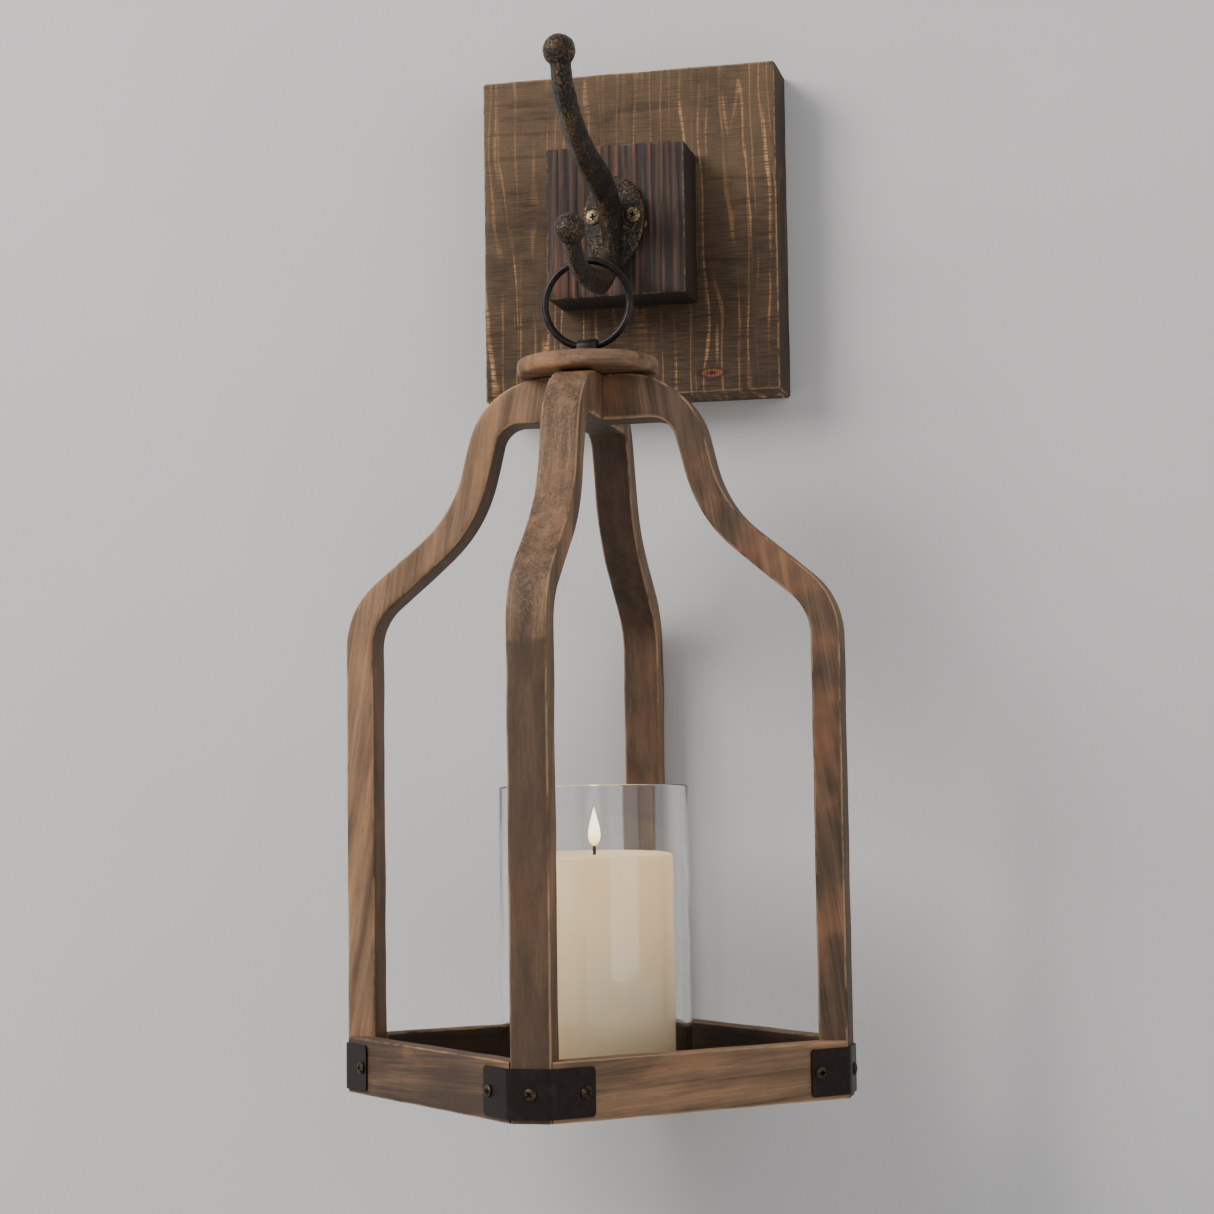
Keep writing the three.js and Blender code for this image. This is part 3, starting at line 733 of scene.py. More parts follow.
def gunmetal_finish(name, colour, worn, shine):
    steel = Finish(name, Metallic=0.7, Roughness=shine)
    steel.lay()
    film = steel.noise(steel.stretched(0.25, 0.25, 0.25), 4, 0.6)
    grain = steel.noise(steel.stretched(2.0, 2.0, 2.0), 2, 0.5)
    shade = steel.mix(film.rising(0.45, 0.7) * 0.6, colour, worn)
    steel.paint(Base_Color=shade, Roughness=shine - 0.05 + film * 0.15)
    steel.emboss(grain, 0.04 * MM)
    return steel


gunmetal = gunmetal_finish("gunmetal", rgb(36, 29, 28), rgb(62, 54, 52), 0.34)
piece("steel_ring", ring, gunmetal, "black_steel", "ring", "hanging_ring")

# ------------------------------------------------------------------------------ the lantern's legs
# Four legs sawn from plank on the S of their curve. The straight faces are planed, and took the
# stain dark; the curved ones are left from the band saw, and took it lighter and speckled.
# Under the cap the four heads are mitred into a cross.

cap_low, cap_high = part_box("cap_disc")
axis = (cap_low + cap_high) / 2
foot = Vector((axis.x, axis.y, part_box("rail_front_right")[0].z))
LEG_WIDTH = 19 * MM
LEG_THICK = 14 * MM
LEG_STRAIGHT = 218 * MM
leg_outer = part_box("leg_right")[1].x - foot.x
leg_inner = leg_outer - LEG_THICK
leg_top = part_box("leg_right")[1].z - foot.z
CORNERS = {"front": -90, "right": 0, "back": 90, "left": 180}


def stand(bm, degrees):
    """Turns a piece about the lantern's axis and puts it in its place."""
    turn = Matrix.Rotation(math.radians(degrees), 4, "Z")
    bmesh.ops.transform(bm, matrix=Matrix.Translation(foot) @ turn, verts=bm.verts)
    return bm


class LegLine:
    """Walks the leg's outer and inner outline together and keeps a station at every step."""

    def __init__(self):
        self.outer = Vector((leg_outer, 0))
        self.inner = Vector((leg_inner, 0))
        self.heading = math.pi / 2
        self.stations = []
        self.keep()

    def keep(self):
        across = self.outer - self.inner
        middle = (self.outer + self.inner) / 2
        out = Vector((across.x, 0, across.y)).normalized()
        side = Vector((0, 1, 0))
        basis = Matrix((out, side, out.cross(side))).transposed().to_4x4()
        scale = Matrix.Diagonal((across.length / LEG_THICK, 1, 1, 1))
        place = Matrix.Translation((middle.x, 0, middle.y))
        self.stations.append(place @ basis @ scale)

    def step(self, outer, inner):
        way = Vector((math.cos(self.heading), math.sin(self.heading)))
        self.outer += way * outer
        self.inner += way * inner

    def straight(self, outer, inner, steps):
        for _ in range(steps):
            self.step(outer / steps, inner / steps)
            self.keep()

    def bend(self, outer, inner, degrees):
        steps = math.ceil(abs(degrees) / 3)
        part = math.radians(degrees) / steps
        for _ in range(steps):
            self.heading += part / 2
            self.step(2 * outer * math.sin(abs(part) / 2), 2 * inner * math.sin(abs(part) / 2))
            self.heading += part / 2
            self.keep()


def leg_section():
    """A rounded rectangle, thick across X and wide across Y, as a loop of edges."""
    bm = bmesh.new()
    bmesh.ops.create_grid(bm, x_segments=1, y_segments=1, size=0.5)
    bmesh.ops.scale(bm, vec=(LEG_THICK, LEG_WIDTH, 1), verts=bm.verts)
    bmesh.ops.bevel(bm, geom=bm.verts[:], offset=1.2 * MM, segments=2, profile=0.5, affect="VERTICES", material=-1)
    long_edges = [edge for edge in bm.edges if edge.calc_length() > 5 * MM]
    bmesh.ops.subdivide_edges(bm, edges=long_edges, cuts=5)
    worn = bm.verts.layers.float.new("worn")
    outward = bm.verts.layers.float.new("outward")
    inward = bm.verts.layers.float.new("inward")
    for vert in bm.verts:
        corner = abs(vert.co.x) > LEG_THICK / 2 - 0.8 * MM and abs(vert.co.y) > LEG_WIDTH / 2 - 0.8 * MM
        vert[worn] = 1.0 if corner else 0.0
        vert[outward] = 1.0 if vert.co.x > LEG_THICK / 2 - 0.05 * MM else 0.0
        vert[inward] = 1.0 if vert.co.x < 0.05 * MM - LEG_THICK / 2 else 0.0
    bmesh.ops.delete(bm, geom=bm.faces[:], context="FACES_ONLY")
    return bm


def leg():
    line = LegLine()
    line.straight(LEG_STRAIGHT, LEG_STRAIGHT, 70)
    line.bend(40 * MM, 26 * MM, 50)
    line.straight(34.4 * MM, 34.4 * MM, 10)
    line.bend(60 * MM, 74 * MM, -36)
    line.straight(15.3 * MM, 18.65 * MM, 6)
    line.bend(42 * MM, 12 * MM, 76)
    line.straight(line.outer.x, line.inner.x, 6)
    bm = leg_section()
    bmesh.ops.transform(bm, matrix=line.stations[0], verts=bm.verts)
    sweep(bm, bm.edges[:], line.stations)
    for side in (-1, 1):
        cut = bmesh.ops.bisect_plane(
            bm,
            geom=bm.verts[:] + bm.edges[:] + bm.faces[:],
            plane_co=(0, -side * 0.15 * MM, 0),
            plane_no=(-1, side, 0),
            clear_outer=True,
        )
        rim = [item for item in cut["geom_cut"] if isinstance(item, bmesh.types.BMEdge)]
        bmesh.ops.holes_fill(bm, edges=rim)
    bmesh.ops.recalc_face_normals(bm, faces=bm.faces)
    return bm


def lantern_wood(name, degrees, grain, lift=0.0):
    """The lantern's stained wood. Its grain runs along a direction in the timber's own frame. The lift makes the whole
    piece lighter or darker as painted light and shade, and the inner faces get painted shade.
    """
    wood = Finish(name, Roughness=0.62)
    lean = Vector(grain).rotation_difference(Vector((0, 0, 1))).to_matrix()
    upright = Matrix.Rotation(math.radians(-degrees), 3, "Z")
    wood.lay(foot, lean @ upright, (chance.uniform(0, 400), chance.uniform(0, 400), 0))
    figure = wood.noise(wood.stretched(0.13, 0.13, 0.007), 3, 0.6, 0.4)
    lines = wood.noise(wood.stretched(0.9, 0.9, 0.02), 3, 0.6)
    pores = wood.noise(wood.stretched(2.6, 2.6, 0.16), 2, 0.6)
    cloud = wood.noise(wood.stretched(0.03, 0.03, 0.02), 3, 0.6)
    speck = wood.noise(wood.stretched(0.75, 0.75, 0.75), 4, 0.75)

    # The lift shifts the whole piece lighter or darker: painted light and shade.
    colour = wood.ramp(
        figure * 0.55 + lines * 0.3 + cloud * 0.25 + lift,
        (0.36, rgb(62, 45, 30)),
        (0.50, rgb(98, 73, 51)),
        (0.60, rgb(127, 97, 70)),
        (0.72, rgb(162, 122, 86)),
    )
    colour = wood.mix(pores.rising(0.4, 0.28) * 0.5, colour, rgb(60, 43, 29))
    colour = wood.mix(cloud.rising(0.5, 0.68) * 0.3, colour, rgb(164, 106, 68))
    inward, outward = wood.mark("inward"), wood.mark("outward")
    height = wood.node("SeparateXYZ", {}, {0: wood.node("TexCoord", {}, {}, "Object")}, 2) * (1 / MM)
    height = height - foot.z / MM
    straight = 1 - (height + (lines - 0.5) * 4).rising(210.5, 213.5)
    colour = wood.mix(outward * straight * 0.72, colour, rgb(62, 43, 25))
    sawn = outward * height.rising(212, 226)
    colour = wood.mix(sawn * speck.rising(0.5, 0.64) * 0.35, colour, rgb(160, 126, 90))
    colour = wood.mix(sawn * speck.rising(0.44, 0.32) * 0.75, colour, rgb(58, 42, 28))
    shaded = 0.5 + height.rising(205, 240) * 0.25 + (1 - height.rising(27, 29)) * 0.3
    colour = wood.mix(inward * shaded, colour, rgb(38, 27, 18))
    wear = wood.mark("worn") * wood.noise(wood.stretched(0.1, 0.1, 0.03), 3, 0.7).rising(0.4, 0.56)
    colour = wood.mix(wear * 0.6, colour, rgb(196, 158, 114))
    wood.paint(Base_Color=colour, Roughness=0.58 + speck * 0.2)
    wood.emboss(lines * 0.5 + pores * 0.5 + speck * 0.35, 0.22 * MM)
    return wood


# Painted light and shade: each leg's wood is made lighter or darker as a whole, the left leg lit and the right leg
# shaded.
LEG_PAINTED_LIGHT = {"front": -0.03, "right": -0.09, "back": -0.03, "left": 0.055}
for index, (name, degrees) in enumerate(CORNERS.items()):
    timber_leg = leg()
    roughen(timber_leg, 31 + index, 0.3 * MM, 0.6 * MM)
    finish = lantern_wood(f"leg_wood_{name}", degrees, (-0.16, 0.02, 1), LEG_PAINTED_LIGHT[name])
    piece(f"sawn_leg_{name}", stand(timber_leg, degrees), finish, "lantern_wood", "lantern", f"leg_{name}")

# ------------------------------------------------------------------------------ the base
# Four rails, mitred against the sides of the legs, with a thin floor in a groove. Corner straps
# of folded dark steel hold rails and legs together, with three screws each.

BASE_SIDE = 188 * MM
RAIL = Vector((10, 0, 27)) * MM
rail_face = BASE_SIDE / 2
rail_end = rail_face - (LEG_WIDTH / 2 + 0.3 * MM) * math.sqrt(2)
panel_low, panel_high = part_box("base_panel")
panel_low.z -= foot.z
panel_high.z -= foot.z
SIDES = {"front_right": -45, "back_right": 45, "back_left": 135, "front_left": -135}


def rail():
    bm = timber((RAIL.x, 2 * rail_end + 4 * MM, RAIL.z), 1.0 * MM, (2.4 * MM, 2.8 * MM, 2.7 * MM))
    bmesh.ops.translate(bm, vec=(rail_face - RAIL.x / 2, 0, RAIL.z / 2), verts=bm.verts)
    for side in (-1, 1):
        cut = bmesh.ops.bisect_plane(
            bm,
            geom=bm.verts[:] + bm.edges[:] + bm.faces[:],
            plane_co=(rail_face, side * rail_end, 0),
            plane_no=(-1, side, 0),
            clear_outer=True,
        )
        rim = [item for item in cut["geom_cut"] if isinstance(item, bmesh.types.BMEdge)]
        bmesh.ops.holes_fill(bm, edges=rim)
    groove = block_of(
        (rail_face - RAIL.x - 2 * MM, -BASE_SIDE, panel_low.z - 0.3 * MM),
        (rail_face - RAIL.x + 3.3 * MM, BASE_SIDE, panel_high.z + 0.3 * MM),
    )
    bm = carved(bm, [groove])
    inward = bm.verts.layers.float.new("inward")
    for vert in bm.verts:
        vert[inward] = 1.0 if vert.co.x < rail_face - RAIL.x + 0.4 * MM else 0.0
    return bm


# Painted light and shade: each rail's wood is made lighter or darker as a whole, the front right rail lit and the
# front left one shaded.
RAIL_PAINTED_LIGHT = {"front_right": 0.05, "back_right": -0.04, "back_left": -0.05, "front_left": -0.13}


for index, (name, degrees) in enumerate(SIDES.items()):
    bar = rail()
    roughen(bar, 47 + index, 0.2 * MM, 0.6 * MM)
    finish = lantern_wood(f"rail_wood_{name}", degrees, (0.01, 1, 0.05), RAIL_PAINTED_LIGHT[name])
    piece(f"mitred_rail_{name}", stand(bar, degrees), finish, "lantern_wood", "lantern", f"rail_{name}")

panel_half = rail_face - RAIL.x + 3 * MM
panel_cut = (leg_inner - 0.3 * MM) * math.sqrt(2) - panel_half
panel = timber((2 * panel_half, 2 * panel_half, panel_high.z - panel_low.z), 0.5 * MM, (6 * MM, 6 * MM, 5 * MM))
bmesh.ops.translate(panel, vec=(0, 0, (panel_low.z + panel_high.z) / 2), verts=panel.verts)
for quarter in range(4):
    outward = Matrix.Rotation(math.radians(45 + 90 * quarter), 3, "Z") @ Vector((1, 0, 0))
    cut = bmesh.ops.bisect_plane(
        panel,
        geom=panel.verts[:] + panel.edges[:] + panel.faces[:],
        plane_co=outward * (leg_inner - 0.3 * MM),
        plane_no=outward,
        clear_outer=True,
    )
    rim = [item for item in cut["geom_cut"] if isinstance(item, bmesh.types.BMEdge)]
    bmesh.ops.holes_fill(panel, edges=rim)
# The floor's wood is made darker as a whole: painted shade inside the base.
piece(
    "plywood_floor",
    stand(panel, 45),
    lantern_wood("floor_wood", 45, (0.02, 1, 0.0), -0.06),
    "lantern_wood",
    "lantern",
    "base_panel",
)

STRAP_LOW, STRAP_HIGH, STRAP_THICK, STRAP_FLANGE = 2 * MM, 24 * MM, 1 * MM, 22 * MM
BEND = 2.0 * MM


def strap():
    """A strip bent at two places round the chamfered corner on the +X side."""
    inside = leg_outer + 0.3 * MM
    half = LEG_WIDTH / 2
    line = [Vector((inside - STRAP_FLANGE / math.sqrt(2), -half - STRAP_FLANGE / math.sqrt(2)))]
    line += [Vector((inside, -half)), Vector((inside, half))]
    line.append(Vector((line[0].x, -line[0].y)))
    path = rounded(line, BEND, 6)
    fine = []
    for a, b in zip(path, path[1:]):
        parts = max(1, round((b - a).length / (0.7 * MM)))
        fine += [a.lerp(b, step / parts) for step in range(parts)]
    fine.append(path[-1])
    total = sum((b - a).length for a, b in zip(fine, fine[1:]))
    bm = bmesh.new()
    bmesh.ops.create_grid(bm, x_segments=len(fine) - 1, y_segments=20, size=0.5)
    tall = STRAP_HIGH - STRAP_LOW
    corner = 1.8 * MM
    gone = {}
    run = 0.0
    for index, point in enumerate(fine):
        if index:
            run += (point - fine[index - 1]).length
        gone[index] = max(0.0, corner - min(run, total - run))
    for vert in bm.verts:
        index = round((vert.co.x + 0.5) * (len(fine) - 1))
        limit = tall / 2 - corner + math.sqrt(max(0.0, corner**2 - gone[index] ** 2))
        vert.co = Vector((fine[index].x, fine[index].y, STRAP_LOW + tall / 2 + vert.co.y * 2 * limit))
    bmesh.ops.recalc_face_normals(bm, faces=bm.faces)
    facing = sum(face.normal.x * face.calc_area() for face in bm.faces)
    if facing < 0:
        bmesh.ops.reverse_faces(bm, faces=bm.faces)
    bmesh.ops.solidify(bm, geom=bm.faces[:], thickness=-STRAP_THICK)
    bmesh.ops.recalc_face_normals(bm, faces=bm.faces)
    return bm


strap_steel = gunmetal_finish("strap_steel", rgb(36, 28, 25), rgb(50, 41, 36), 0.46)
flange_screw = rail_end - STRAP_FLANGE + 5.5 * MM
screw_height = (STRAP_LOW + STRAP_HIGH) / 2
proud = 0.3 * MM + STRAP_THICK
leg_screw = dome_screw(2.9 * MM, 1.5 * MM, 1.3 * MM, 12 * MM)
rail_screw = dome_screw(2.9 * MM, 1.5 * MM, 1.3 * MM, 8.5 * MM)


def strap_screw(pattern, name, degrees, out, across, node):
    turn = Matrix.Rotation(math.radians(degrees), 3, "Z")
    place = foot + turn @ Vector((out + proud, across, screw_height))
    drive(pattern, name, place, turn @ Vector((1, 0, 0)), bronze, "lantern", node)


for name, degrees in CORNERS.items():
    piece(f"corner_strap_{name}", stand(strap(), degrees), strap_steel, "bracket_steel", "lantern", f"corner_bracket_{name}")
    node = f"bracket_screw_{name}_"
    strap_screw(leg_screw, f"strap_screw_{name}_middle", degrees, leg_outer, 0, node + "middle")
    for hand, side in (("a", -1), ("b", 1)):
        turn = degrees + side * 45
        strap_screw(rail_screw, f"strap_screw_{name}_{hand}", turn, rail_face, -side * flange_screw, node + hand)

# ------------------------------------------------------------------------------ cap and saddle
# A turned disc screwed down on the four heads, and a bent steel strap that holds the ring to it.

cap_radius = (cap_high.x - cap_low.x) / 2
cap_thick = cap_high.z - cap_low.z
edge = 3.0 * MM
disc = spun(
    rounded([(0, 0), (cap_radius, 0), (cap_radius, cap_thick), (0, cap_thick)], edge, 6),
    96,
)
CAP_SCREW = {"head": 3.4 * MM, "shank": 1.6 * MM, "length": 20 * MM}
cap_cuts = []
for degrees in CORNERS.values():
    spot = Matrix.Rotation(math.radians(degrees), 3, "Z") @ Vector((24 * MM, 0, cap_thick))
    cap_cuts.append(peg(spot - Vector((0, 0, 2.6 * MM)), spot + Vector((0, 0, 1 * MM)), 3.5 * MM))
disc = carved(disc, cap_cuts)
bmesh.ops.translate(disc, vec=(0, 0, cap_low.z - foot.z), verts=disc.verts)
piece(
    "turned_cap",
    stand(disc, 0),
    lantern_wood("cap_wood", 20, (1, 0.12, 0.03)),
    "lantern_wood",
    "lantern",
    "cap_disc",
)

cap_screw = flush_screw(**CAP_SCREW)
for name, degrees in CORNERS.items():
    spot = Matrix.Rotation(math.radians(degrees), 3, "Z") @ Vector((24 * MM, 0, 0))
    place = Vector((axis.x, axis.y, cap_high.z - 0.5 * MM)) + spot
    drive(cap_screw, f"cap_screw_{name}_bronze", place, (0, 0, 1), bronze, "lantern", f"cap_screw_{name}")

bow_low, bow_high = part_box("ring_saddle")
BOW_THICK = 1.2 * MM
BOW_HOLE = 2.6 * MM
wire_height = bow_high.z - BOW_THICK - BOW_HOLE


def saddle_strap():
    """A strip from the front foot up, over the ring's wire and down to the back foot."""
    flat = bow_low.z + BOW_THICK / 2
    reach = BOW_HOLE + BOW_THICK / 2
    end = (bow_high.y - bow_low.y) / 2
    path = rounded([(-end, flat), (-reach, flat), (-reach, wire_height)], 0.9 * MM)
    path += [
        Vector((-reach * math.cos(turn), wire_height + reach * math.sin(turn)))
        for turn in [math.pi * step / 16 for step in range(1, 16)]
    ]
    path += [Vector((-point.x, point.y)) for point in reversed(rounded([(-end, flat), (-reach, flat), (-reach, wire_height)], 0.9 * MM))]
    stations = []
    for before, here, after in zip([path[0], *path], path, [*path[1:], path[-1]]):
        ahead = Vector((0, after.x - before.x, after.y - before.y)).normalized()
        side = Vector((1, 0, 0))
        basis = Matrix((side, ahead.cross(side), ahead)).transposed().to_4x4()
        stations.append(Matrix.Translation((axis.x, axis.y + here.x, here.y)) @ basis)
    bm = bmesh.new()
    bmesh.ops.create_grid(bm, x_segments=1, y_segments=1, size=0.5)
    bmesh.ops.scale(bm, vec=(bow_high.x - bow_low.x, BOW_THICK, 1), verts=bm.verts)
    bmesh.ops.bevel(bm, geom=bm.verts[:], offset=0.4 * MM, segments=3, profile=0.5, affect="VERTICES", material=-1)
    bmesh.ops.delete(bm, geom=bm.faces[:], context="FACES_ONLY")
    bmesh.ops.transform(bm, matrix=stations[0], verts=bm.verts)
    sweep(bm, bm.edges[:], stations)
    return bm


piece("ring_strap", saddle_strap(), gunmetal, "black_steel", "lantern", "ring_saddle")
saddle_screw = dome_screw(2.8 * MM, 1.4 * MM, 1.2 * MM, 7 * MM)
for name, side in (("front", -1), ("back", 1)):
    place = Vector((axis.x, axis.y + side * 9 * MM, bow_low.z + BOW_THICK))
    drive(saddle_screw, f"saddle_screw_{name}_bronze", place, (0, 0, 1), bronze, "lantern", f"saddle_screw_{name}")

# ------------------------------------------------------------------------------ the glass
# A blown and cut cylinder with a thick base and a fire polished rim.

glass_low, glass_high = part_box("glass_hurricane")
GLASS_WALL, GLASS_BASE = 2.8 * MM, 3.5 * MM
glass_radius = (glass_high.x - glass_low.x) / 2
glass_tall = glass_high.z - glass_low.z
bore = glass_radius - GLASS_WALL
outline = rounded([(0, 0), (glass_radius, 0), (glass_radius, glass_tall / 2)], 2.2 * MM, 6)[:-1]
outline += rounded([(glass_radius, glass_tall / 2), (glass_radius, glass_tall), (bore, glass_tall), (bore, glass_tall / 2)], 1.1 * MM, 5)
outline += rounded([(bore, glass_tall / 2), (bore, GLASS_BASE), (0, GLASS_BASE)], 2.5 * MM, 6)[1:]
glass = spun(outline, 128)
bmesh.ops.translate(glass, vec=((glass_low.x + glass_high.x) / 2, (glass_low.y + glass_high.y) / 2, glass_low.z), verts=glass.verts)


def glass_finish():
    clear = Finish("clear_glass", Roughness=0.0, IOR=1.46, Transmission_Weight=1.0)
    clear.lay()
    film = clear.noise(clear.stretched(0.03, 0.03, 0.012), 2)
    clear.paint(Base_Color=clear.mix(film, rgb(250, 252, 252), rgb(255, 255, 255)))
    clear.emboss(film, 0.25 * MM)
    return clear


piece("glass_cylinder", glass, glass_finish(), "clear_glass", "glass", "glass_hurricane")

# ------------------------------------------------------------------------------ the candle
# A moulded ivory pillar with a cotton wick. Its top has softened round the wick, and the flame
# is a shape of light.

wax_low, wax_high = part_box("candle")
wax_radius = (wax_high.x - wax_low.x) / 2
wax_tall = wax_high.z - wax_low.z
WICK_BORE = 1.2 * MM
centre = Vector(((wax_low.x + wax_high.x) / 2, (wax_low.y + wax_high.y) / 2, 0))

outline = rounded([(0, 0), (wax_radius, 0), (wax_radius, wax_tall * 0.3)], 1.5 * MM)[:-1]
outline += [(wax_radius, wax_tall * share) for share in (0.3, 0.45, 0.6, 0.75, 0.9)]
top = [(wax_radius, wax_tall * 0.9), (wax_radius, wax_tall), (wax_radius - 5 * MM, wax_tall - 0.3 * MM)]
outline += rounded(top, 1.6 * MM, 6)[1:]
outline += [(22 * MM, wax_tall - 0.9 * MM), (14 * MM, wax_tall - 1.2 * MM), (6 * MM, wax_tall - 1.3 * MM)]
outline += [(2.4 * MM, wax_tall - 0.9 * MM), (WICK_BORE, wax_tall - 0.7 * MM), (WICK_BORE, wax_tall - 19 * MM), (0, wax_tall - 19 * MM)]
pillar = spun(outline, 96)
bmesh.ops.translate(pillar, vec=centre + Vector((0, 0, wax_low.z)), verts=pillar.verts)
pillar.normal_update()
for vert in pillar.verts:
    out = (vert.co - centre).to_2d().length
    if out > 3 * MM:
        vert.co += vert.normal * noise.noise(vert.co / MM * 0.05) * 0.25 * MM


def wax_finish():
    wax = Finish("ivory_wax", Roughness=0.42, Subsurface_Weight=0.35, Subsurface_Scale=5 * MM)
    wax.shader.inputs["Subsurface Radius"].default_value = (1.0, 0.62, 0.35)
    _, _, up = wax.lay(centre + Vector((0, 0, wax_low.z)))
    cloud = wax.noise(wax.stretched(0.03, 0.03, 0.02), 3)
    bloom = wax.noise(wax.stretched(0.6, 0.6, 0.6), 2)
    colour = wax.mix(cloud.rising(0.35, 0.7), rgb(252, 226, 180), rgb(255, 238, 202))
    colour = wax.mix(up.rising(45, 0) * 0.3, colour, rgb(222, 192, 144))
    wax.paint(Base_Color=colour, Roughness=0.4 + bloom * 0.12)
    # Painted glow: the wax is given an emission that rises from a faint brown at the foot to a warm light at the top,
    # standing in for the flame's light in the wax.
    wax.paint(Emission_Color=wax.mix(up.rising(0, 104), rgb(60, 36, 18), rgb(255, 206, 140)), Emission_Strength=0.55)
    wax.emboss(bloom * 0.4 + cloud, 0.1 * MM)
    return wax


piece("wax_pillar", pillar, wax_finish(), "ivory_wax", "candle", "candle")

wick_low, wick_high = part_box("wick")
WICK_RADIUS = 0.85 * MM
wick_line = [Vector((0, 0, wick_low.z)), Vector((0, 0, wick_high.z - 12 * MM)), Vector((0, 0, wick_high.z - 6 * MM))]
wick_line.append(Vector((0.25 * MM, 0, wick_high.z)))
strand = bmesh.new()
ring_verts = bmesh.ops.create_circle(strand, segments=12, radius=1)["verts"]
stations = []
for index, (place, ahead) in enumerate(through(wick_line, 40)):
    braid = 1 + 0.1 * math.sin(index * 1.7)
    size = WICK_RADIUS * braid * (0.75 if index > 36 else 1)
    turn = ahead.to_track_quat("Z", "Y").to_matrix().to_4x4() @ Matrix.Rotation(index * 0.2, 4, "Z")
    stations.append(Matrix.Translation(place + centre) @ turn @ Matrix.Diagonal((size, size * 0.8, 1, 1)))
bmesh.ops.transform(strand, matrix=stations[0], verts=ring_verts)
sweep(strand, strand.edges[:], stations)


def wick_finish():
    cotton = Finish("charred_cotton", Roughness=0.95)
    cotton.lay()
    fibre = cotton.noise(cotton.stretched(2, 2, 1), 3)
    cotton.paint(Base_Color=cotton.mix(fibre.rising(0.35, 0.65), rgb(14, 11, 10), rgb(48, 38, 30)))
    cotton.emboss(fibre, 0.2 * MM)
    return cotton


piece("braided_wick", strand, wick_finish(), "charred_cotton", "candle", "wick")

flame_foot = wax_high.z + 3.4 * MM
FLAME_TALL, FLAME_WIDE = 18.5 * MM, 3.3 * MM
flame_outline = []
for step in range(25):
    share = step / 24
    swell = math.sin(math.pi * share**0.62) ** 0.9 * (1 - share * 0.35)
    flame_outline.append((FLAME_WIDE * swell if 0 < step < 24 else 0, FLAME_TALL * share))
tongue = spun(flame_outline, 32)
bmesh.ops.translate(tongue, vec=centre + Vector((0, 0, flame_foot)), verts=tongue.verts)


def flame_finish():
    fire = Finish("flame", Roughness=1.0, Emission_Strength=3.2)
    _, _, up = fire.lay(Vector((0, 0, flame_foot)))
    glow = fire.ramp(
        up * (MM / FLAME_TALL),
        (0.0, rgb(235, 170, 80)),
        (0.2, rgb(255, 226, 150)),
        (0.45, rgb(255, 250, 225)),
        (0.9, rgb(255, 246, 205)),
    )
    fire.paint(Base_Color=rgb(0, 0, 0), Emission_Color=glow)
    return fire


flame = as_object("candle_flame", tongue)
flame.data.materials.append(flame_finish().material)
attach(flame, "candle")

# ------------------------------------------------------------------------------ room, light, camera
# A pale plastered wall behind the board, seen from the room's side only, and a pale floor below.


def plane(name, corners, finish, opening=()):
    """A flat sheet that faces the side from which its corners run anticlockwise."""
    bm = bmesh.new()
    sheet = bm.faces.new([bm.verts.new(corner) for corner in corners])
    sheet.normal_update()
    facing = sheet.normal.copy()
    if opening:
        bm.faces.remove(sheet)
        inner = [bm.verts.new(corner) for corner in opening]
        for here, after in zip(inner, inner[1:] + inner[:1]):
            bm.edges.new((here, after))
        bmesh.ops.bridge_loops(bm, edges=bm.edges[:])
        bm.normal_update()
        turned = [face for face in bm.faces if face.normal.dot(facing) < 0]
        bmesh.ops.reverse_faces(bm, faces=turned)
    made = as_object(name, bm)
    made.data.materials.append(finish.material)


def plaster_finish(name, one_sided):
    paint = Finish(name, Roughness=0.9)
    paint.lay()
    cloud = paint.noise(paint.stretched(0.004, 0.004, 0.004), 3)
    paint.paint(Base_Color=paint.mix(cloud, rgb(203, 202, 201), rgb(215, 214, 213)))
    if one_sided:
        behind = paint.node("NewGeometry", {}, {}, "Backfacing")
        clear = paint.node("BsdfTransparent", {}, {})
        front = Wire(paint, paint.shader.outputs[0])
        shown = paint.node("MixShader", {}, {0: behind, 1: front, 2: clear})
        paint.feed(paint.tree.nodes["Material Output"], {"Surface": shown})
    return paint


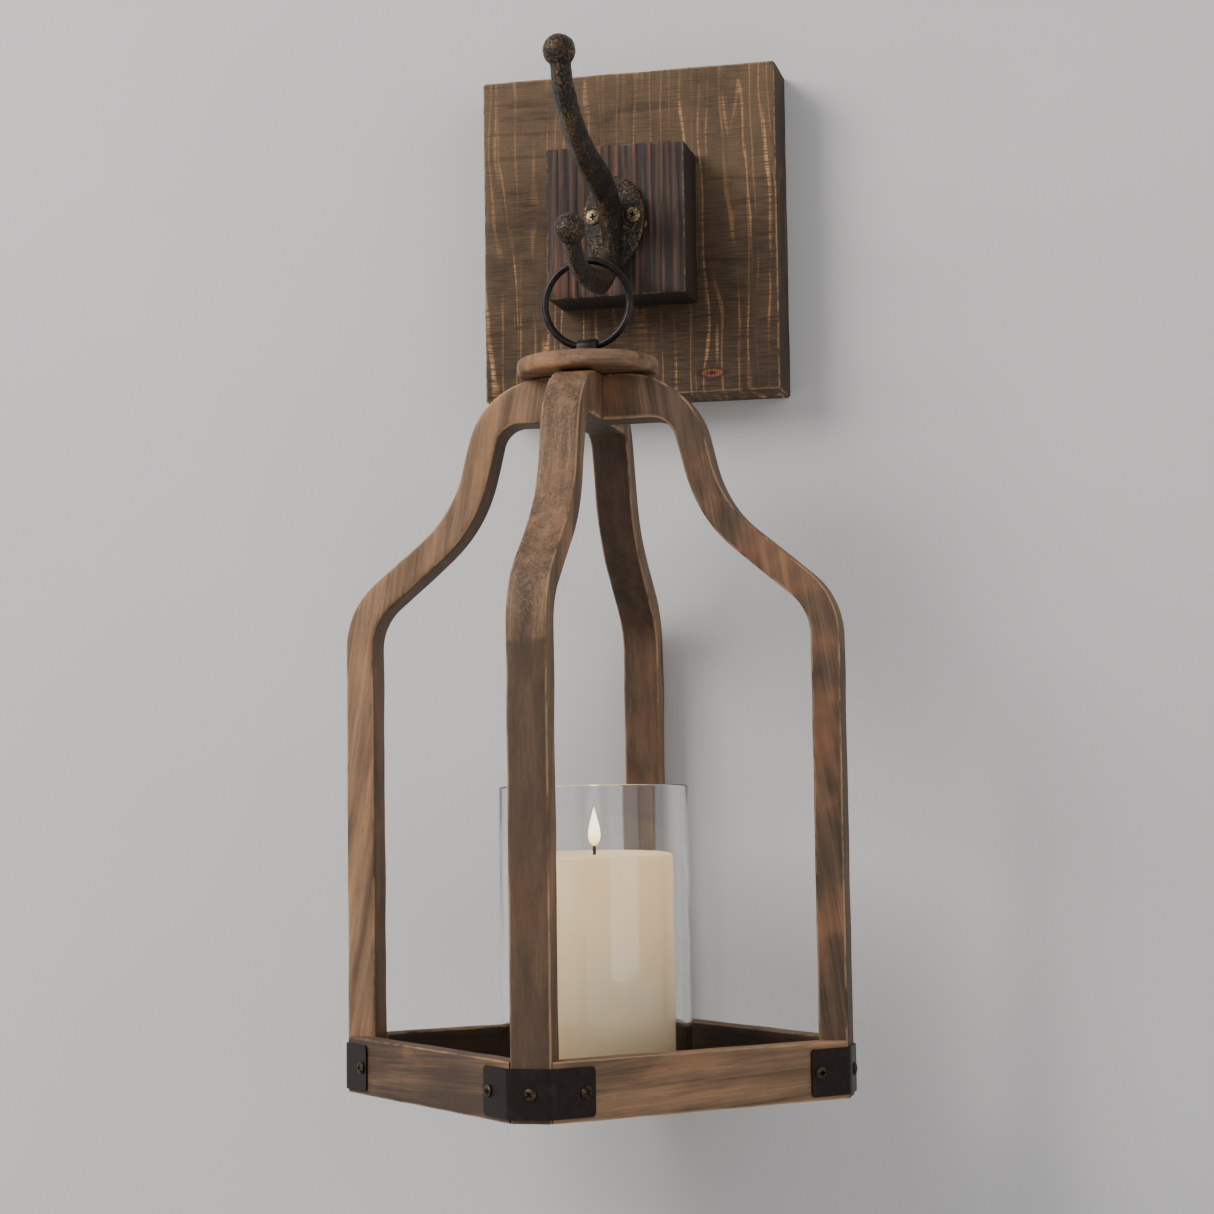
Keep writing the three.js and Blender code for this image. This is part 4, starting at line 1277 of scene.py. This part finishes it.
ROOM = 3.0
FLOOR = -1.25
wall_y = board_high.y + 0.5 * MM
COVERED = 1.5 * MM  # how far the board overlaps the wall's opening, so that light reaches its back
hole_low, hole_high = board_low + Vector((COVERED,) * 3), board_high - Vector((COVERED,) * 3)
plane(
    "plaster_wall",
    [(-ROOM, wall_y, FLOOR), (ROOM, wall_y, FLOOR), (ROOM, wall_y, ROOM), (-ROOM, wall_y, ROOM)],
    plaster_finish("pale_plaster", True),
    [
        (hole_low.x, wall_y, hole_low.z),
        (hole_high.x, wall_y, hole_low.z),
        (hole_high.x, wall_y, hole_high.z),
        (hole_low.x, wall_y, hole_high.z),
    ],
)
plane(
    "pale_floor",
    [(-ROOM, -2 * ROOM, FLOOR), (ROOM, -2 * ROOM, FLOOR), (ROOM, ROOM, FLOOR), (-ROOM, ROOM, FLOOR)],
    plaster_finish("pale_floor_paint", False),
)


def softbox(name, place, target, size, power, colour):
    light = bpy.data.lights.new(name, "AREA")
    light.shape = "RECTANGLE"
    light.size, light.size_y = size
    light.energy = power
    light.color = colour
    lamp = bpy.data.objects.new(name, light)
    bpy.context.collection.objects.link(lamp)
    lamp.location = place
    lamp.rotation_euler = (Vector(target) - Vector(place)).to_track_quat("-Z", "Y").to_euler()


middle = (0, axis.y, -0.2)
softbox("window", (-1.3, -1.5, 0.9), middle, (1.2, 1.2), 46, (1.0, 0.98, 0.95))
softbox("fill", (1.6, -1.5, 0.1), middle, (1.4, 1.4), 10, (0.96, 0.98, 1.0))
softbox("back_light", (0.6, 1.6, 0.8), middle, (1.4, 1.4), 14, (1.0, 1.0, 1.0))

world = bpy.data.worlds.new("studio")
world.use_nodes = True
world.node_tree.nodes["Background"].inputs["Color"].default_value = rgb(217, 217, 219)
world.node_tree.nodes["Background"].inputs["Strength"].default_value = 0.68
bpy.context.scene.world = world

CAMERA = Vector((293.7, -1336.5, -304.7)) * MM
YAW, PITCH, ROLL = math.radians(13.32), math.radians(4.5), math.radians(-0.78)
lens = bpy.data.cameras.new("camera")
lens.sensor_width = 36
lens.lens = 75.4
camera = bpy.data.objects.new("camera", lens)
bpy.context.collection.objects.link(camera)
camera.location = CAMERA
level = Matrix.Rotation(YAW, 3, "Z") @ Matrix.Rotation(math.pi / 2 + PITCH, 3, "X")
camera.rotation_euler = (level @ Matrix.Rotation(ROLL, 3, "Z")).to_euler()
bpy.context.scene.camera = camera
